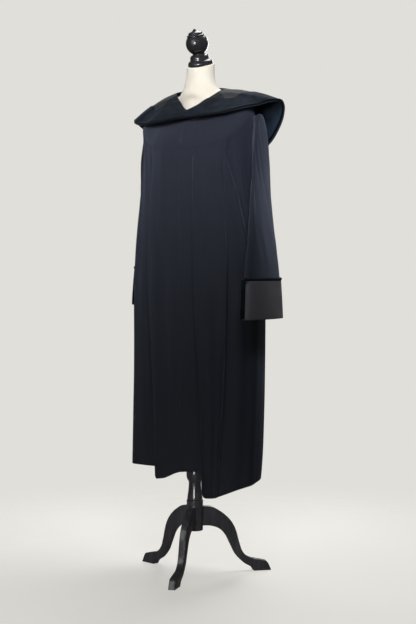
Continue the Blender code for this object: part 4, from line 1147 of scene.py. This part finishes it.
# Turned outlines from the top down: radius and height
KNOB_CAP = (
    (0.0, 0.1120), (0.0022, 0.1117), (0.0045, 0.1106), (0.0060, 0.1086), (0.0082, 0.1060),
    (0.0110, 0.1044), (0.0150, 0.1031), (0.0192, 0.1017), (0.0214, 0.1003), (0.0224, 0.0986),
    (0.0220, 0.0970), (0.0212, 0.0962), (0.0216, 0.0953), (0.0246, 0.0945), (0.0268, 0.0934),
    (0.0277, 0.0920), (0.0274, 0.0905), (0.0262, 0.0895),
)
KNOB_FOOT = (
    (0.0192, 0.0372), (0.0186, 0.0352), (0.0190, 0.0338), (0.0212, 0.0330), (0.0246, 0.0316),
    (0.0270, 0.0294), (0.0284, 0.0262), (0.0290, 0.0222), (0.0294, 0.0182), (0.0304, 0.0164),
    (0.0334, 0.0148), (0.0362, 0.0122), (0.0378, 0.0090), (0.0385, 0.0052), (0.0384, 0.0016),
    (0.0378, 0.0004), (0.0, 0.0),
)
POST_LOW = 0.2285
POST_PROFILE = (
    (0.0, 0.7997), (0.0162, 0.7996), (0.0165, 0.700), (0.0165, 0.500), (0.0165, 0.345),
    (0.0172, 0.339), (0.0190, 0.3335), (0.0228, 0.3275), (0.0256, 0.3175), (0.0262, 0.3080),
    (0.0256, 0.3000), (0.0240, 0.2930), (0.0214, 0.2885), (0.0196, 0.2862), (0.0190, 0.2830),
    (0.0187, 0.2740), (0.0202, 0.2560), (0.0226, 0.2400), (0.0235, POST_LOW + 0.0030),
    (0.0232, POST_LOW + 0.0002),
    (0.0, POST_LOW),
)
HUB_PROFILE = (
    (0.0, 0.2282), (0.0236, 0.2281), (0.0250, 0.2272), (0.0257, 0.2262), (0.0257, 0.2225),
    (0.0252, 0.2206), (0.0250, 0.2195), (0.0250, 0.1800), (0.0250, 0.1360), (0.0247, 0.1345),
    (0.0230, 0.1331), (0.0, 0.1330),
)
LEG_OUTLINE = (
    (0.0240, 0.2080), (0.034, 0.2080), (0.056, 0.2030), (0.089, 0.1830), (0.113, 0.1590), (0.128, 0.1310),
    (0.139, 0.0920), (0.150, 0.0620), (0.171, 0.0430), (0.212, 0.0330), (0.229, 0.0260), (0.242, 0.0),
    (0.186, 0.0), (0.176, 0.0130), (0.153, 0.0270), (0.129, 0.0520), (0.113, 0.0830), (0.096, 0.1160),
    (0.074, 0.1370), (0.048, 0.1460), (0.0240, 0.1475),
)
LEG_CORNERS, SOLE = (0, 11, 12, 20), 11
LEG_THICKNESS, LEG_ROUNDING = 0.0215, 0.0022
LEG_HEADINGS = (("leg_front", -73.6), ("leg_right", 165.0), ("leg_left", 45.0))


class GOWN_OT_form(GownPieces, bpy.types.Operator):
    """Stretch the knitted cover over the torso and neck"""
    bl_idname = "gown.form"
    bl_label = "Dress form"

    def execute(self, context):
        colours = self.settings(context)[1]
        turns = [2 * BACK * step / FORM_COLUMNS - BACK for step in range(FORM_COLUMNS)]
        rings = [[section_point(section, turn) for turn in turns] for section in FORM_SECTIONS]
        for level in SHOULDER_LEVELS:
            ring = []
            for turn in turns:
                away = REST_DEPTH + FRONT_CLEARANCE * math.cos(math.radians(turn)) ** 2
                ring.append(base_point(level, turn) - base_normal(level, turn) * away)
            rings.append(ring)
        for neck in NECK_RINGS:
            tilt = math.radians(neck.tilt)
            ring = []
            for turn in turns:
                angle = math.radians(turn)
                front = -neck.half_depth * math.cos(angle)
                ring.append(Vector((neck.half_width * math.sin(angle), neck.middle_y + front * math.cos(tilt),
                                    neck.middle_z + front * math.sin(tilt))))
            rings.append(ring)
        rings = as_grid(rings)
        fine = [rings[0]]
        for index in range(len(rings) - 1):
            start, end = rings[index], rings[index + 1]
            for share in [step / FORM_STEPS for step in range(1, FORM_STEPS + 1)]:
                if index < 2:
                    fine.append(start * (1 - share) + end * share)
                else:
                    after = rings[min(len(rings) - 1, index + 2)]
                    fine.append(spline(rings[index - 1], start, end, after, share))
        torso = new_piece("form_cover", knitted_cover(colours.jersey), ["torso_form"])
        loft(torso, fine)
        return {"FINISHED"}


class GOWN_OT_stand(GownPieces, bpy.types.Operator):
    """Turn the knob, post and hub, and cut the three legs"""
    bl_idname = "gown.stand"
    bl_label = "Stand and knob"

    def execute(self, context):
        colours = self.settings(context)[1]
        glossy = black_lacquer("knob lacquer", colours.lacquer)
        # The stand's lacquer is the knob's colour painted lighter: painted light.
        lacquer = black_lacquer("stand lacquer", [channel * STAND_PAINTED_LIGHT for channel in colours.lacquer])
        knob = new_piece("knob", glossy, ["finial"])
        ball = [(BALL_RADIUS * math.sin(angle), BALL_HEIGHT + BALL_RADIUS * math.cos(angle))
                for angle in [math.radians(degrees) for degrees in range(50, 146, 4)]]
        turn_on_lathe(knob, (*KNOB_CAP, *ball, *KNOB_FOOT), 72)
        last = NECK_RINGS[-1]
        turned = Quaternion((1.0, 0.0, 0.0), math.radians(last.tilt))
        foot = Vector((0.0, last.middle_y, last.middle_z)) + turned @ Vector((0.0, 0.0, SEAM))
        for vertex in knob.data.vertices:
            vertex.co = POLE + foot + turned @ (vertex.co - POLE)

        post = new_piece("turned_post", lacquer, ["post"])
        turn_on_lathe(post, POST_PROFILE, 64)
        hub = new_piece("turned_hub", lacquer, ["hub"])
        turn_on_lathe(hub, HUB_PROFILE, 64)
        for name, heading in LEG_HEADINGS:
            self.leg(name, heading, lacquer)
        return {"FINISHED"}

    def leg(self, name, heading, lacquer):
        """A board leg with rounded edges, cut along its outline."""
        piece = new_piece(name.replace("leg", "carved_leg"), lacquer, [name])
        outline = []
        count = len(LEG_OUTLINE)
        for index in range(count - 1):
            if index == SOLE:
                outline.append(LEG_OUTLINE[index])
                continue
            before = LEG_OUTLINE[index - 1 if index not in LEG_CORNERS else index]
            after = LEG_OUTLINE[index + 2 if index + 1 not in LEG_CORNERS else index + 1]
            ends = [np.array(point) for point in (before, LEG_OUTLINE[index], LEG_OUTLINE[index + 1], after)]
            outline += [tuple(spline(*ends, step / 6)) for step in range(6)]
        outline.append(LEG_OUTLINE[-1])
        bm = bmesh.new()
        half = LEG_THICKNESS * 0.5
        verts = [bm.verts.new((reach, -half, height)) for reach, height in outline]
        board = bm.faces.new(verts)
        thick = bmesh.ops.extrude_face_region(bm, geom=[board])
        moved = [part for part in thick["geom"] if isinstance(part, bmesh.types.BMVert)]
        bmesh.ops.translate(bm, verts=moved, vec=(0.0, LEG_THICKNESS, 0.0))
        bmesh.ops.recalc_face_normals(bm, faces=bm.faces)
        rims = [edge for edge in bm.edges if abs(edge.verts[0].co.y - edge.verts[1].co.y) < 1e-6
                and min(edge.verts[0].co.z, edge.verts[1].co.z) > 0.0005]
        bmesh.ops.bevel(bm, geom=rims, offset=LEG_ROUNDING, segments=3, affect="EDGES", profile=0.5)
        turned = Quaternion((0.0, 0.0, 1.0), math.radians(heading))
        for vertex in bm.verts:
            vertex.co = POLE + turned @ vertex.co
        bm.to_mesh(piece.data)
        bm.free()
        piece.data.shade_smooth()
        piece.data.set_sharp_from_angle(angle=math.radians(40))


class GOWN_OT_stage(GownPieces, bpy.types.Operator):
    """Set the camera, the pale floor and the soft studio lights"""
    bl_idname = "gown.stage"
    bl_label = "Stage"

    def execute(self, context):
        stage = context.scene.gown_stage
        back = Vector((math.sin(stage.turn), -math.cos(stage.turn), 0.0))
        right = Vector((math.cos(stage.turn), math.sin(stage.turn), 0.0))
        camera = bpy.data.objects.new("camera", bpy.data.cameras.new("camera"))
        context.scene.collection.objects.link(camera)
        camera.location = POLE + back * stage.distance + Vector((0.0, 0.0, stage.height))
        ahead = (-back * math.cos(stage.swing) + right * math.sin(stage.swing)) * math.cos(stage.dip)
        ahead.z = -math.sin(stage.dip)
        camera.rotation_mode = "QUATERNION"
        camera.rotation_quaternion = ahead.to_track_quat("-Z", "Y")
        camera.data.lens = stage.lens
        camera.data.sensor_width = 36.0
        context.scene.camera = camera

        studio = Recipe(bpy.data.worlds.new("studio"))
        seen = studio.tree.nodes["Background"]
        studio.feed(seen.inputs["Color"], paint(stage.backdrop))
        cast = studio.add("ShaderNodeBackground",
                          inputs={"Color": paint(stage.backdrop), "Strength": stage.ambient})
        camera_ray = studio.add("ShaderNodeLightPath").outputs["Is Camera Ray"]
        chosen = studio.add("ShaderNodeMixShader",
                            inputs={0: camera_ray, 1: cast.outputs[0], 2: seen.outputs[0]})
        studio.feed(studio.tree.nodes["World Output"].inputs["Surface"], chosen.outputs[0])
        context.scene.world = studio.owner
        context.scene.view_settings.view_transform = "Standard"

        key = self.lamp("key", (1.2, -1.8, 2.6), (-0.06, 0.0, 1.62), 0.9, 10.5, 44.0)
        key.visible_glossy = False
        self.lamp("front", (0.5, -3.4, 1.5), (0.0, 0.0, 1.60), 0.6, 2.0, 34.0)
        self.lamp("low", (1.0, -3.0, 0.30), (0.0, 0.0, 0.02), 0.7, 0.9, 24.0)
        gloss = self.lamp("gloss", (-0.4, -2.5, 2.0), (0.0, 0.0, 0.4), 1.6, 14.0, 180.0)
        gloss.visible_diffuse = False
        self.lamp("top", (0.0, 0.9, 3.2), (0.0, 0.0, 1.3), 1.4, 40.0, 180.0)
        self.lamp("back", (-1.4, 3.2, 2.0), (0.0, 0.0, 1.0), 1.2, 14.0, 120.0)
        self.floor(stage)
        return {"FINISHED"}

    def lamp(self, name, place, target, size, power, spread):
        """A square soft light that faces the gown, its beam spread over so many degrees."""
        lamp = bpy.data.objects.new(name, bpy.data.lights.new(name, "AREA"))
        bpy.context.scene.collection.objects.link(lamp)
        lamp.location = place
        lamp.rotation_mode = "QUATERNION"
        lamp.rotation_quaternion = (Vector(target) - Vector(place)).to_track_quat("-Z", "Y")
        lamp.data.size = size
        lamp.data.energy = power
        lamp.data.spread = math.radians(spread)
        return lamp

    def floor(self, stage):
        """A pale round floor that melts into the backdrop."""
        mesh = bpy.data.meshes.new("floor")
        bm = bmesh.new()
        bmesh.ops.create_circle(bm, cap_ends=True, segments=96, radius=3.2)
        bm.to_mesh(mesh)
        bm.free()
        floor = bpy.data.objects.new("floor", mesh)
        bpy.context.scene.collection.objects.link(floor)
        floor.location.z = -0.0004
        floor.visible_diffuse = floor.visible_glossy = False
        recipe = Recipe("floor")
        x, y = recipe.parts(recipe.space())[:2]
        outward = (x * x + y * y) ** 0.5
        grain = recipe.clouds(3.0, 3.0)
        colours = recipe.mix(grain, paint(stage.backdrop, 0.74), paint(stage.backdrop, 0.78))
        recipe.finish(Base_Color=colours, Roughness=0.9, Specular_IOR_Level=0.1,
                      Emission_Color=paint(stage.backdrop, 0.66), Emission_Strength=1.0)
        clear = recipe.add("ShaderNodeBsdfTransparent").outputs[0]
        faded = recipe.add("ShaderNodeMixShader",
                           inputs={0: outward.within(0.55, 1.9), 1: recipe.shader.outputs[0], 2: clear})
        recipe.feed(recipe.tree.nodes["Material Output"].inputs["Surface"], faded.outputs[0])
        mesh.materials.append(recipe.owner)


class GOWN_PT_sidebar(bpy.types.Panel):
    bl_label = "Gown"
    bl_idname = "GOWN_PT_sidebar"
    bl_space_type = "VIEW_3D"
    bl_region_type = "UI"
    bl_category = "Gown"

    def draw(self, context):
        for operator in OPERATORS:
            self.layout.operator(operator.bl_idname)
        for settings in (context.scene.gown_sizes, context.scene.gown_colours, context.scene.gown_stage):
            for name in settings.__annotations__:
                self.layout.prop(settings, name)


OPERATORS = (GOWN_OT_form, GOWN_OT_stand, GOWN_OT_robe, GOWN_OT_sleeves, GOWN_OT_collar, GOWN_OT_stage)
SETTINGS = (("gown_sizes", GownSizes), ("gown_colours", GownColours), ("gown_stage", GownStage))


def register():
    for name, group in SETTINGS:
        bpy.utils.register_class(group)
        setattr(bpy.types.Scene, name, PointerProperty(type=group))
    for kind in (*OPERATORS, GOWN_PT_sidebar):
        bpy.utils.register_class(kind)


def unregister():
    for kind in (GOWN_PT_sidebar, *reversed(OPERATORS)):
        bpy.utils.unregister_class(kind)
    for name, group in reversed(SETTINGS):
        delattr(bpy.types.Scene, name)
        bpy.utils.unregister_class(group)


def main():
    register()
    bpy.ops.gown.form()
    bpy.ops.gown.stand()
    bpy.ops.gown.robe()
    bpy.ops.gown.sleeves()
    bpy.ops.gown.collar()
    bpy.ops.gown.stage()
    bpy.context.view_layer.update()


if __name__ == "__main__":
    main()
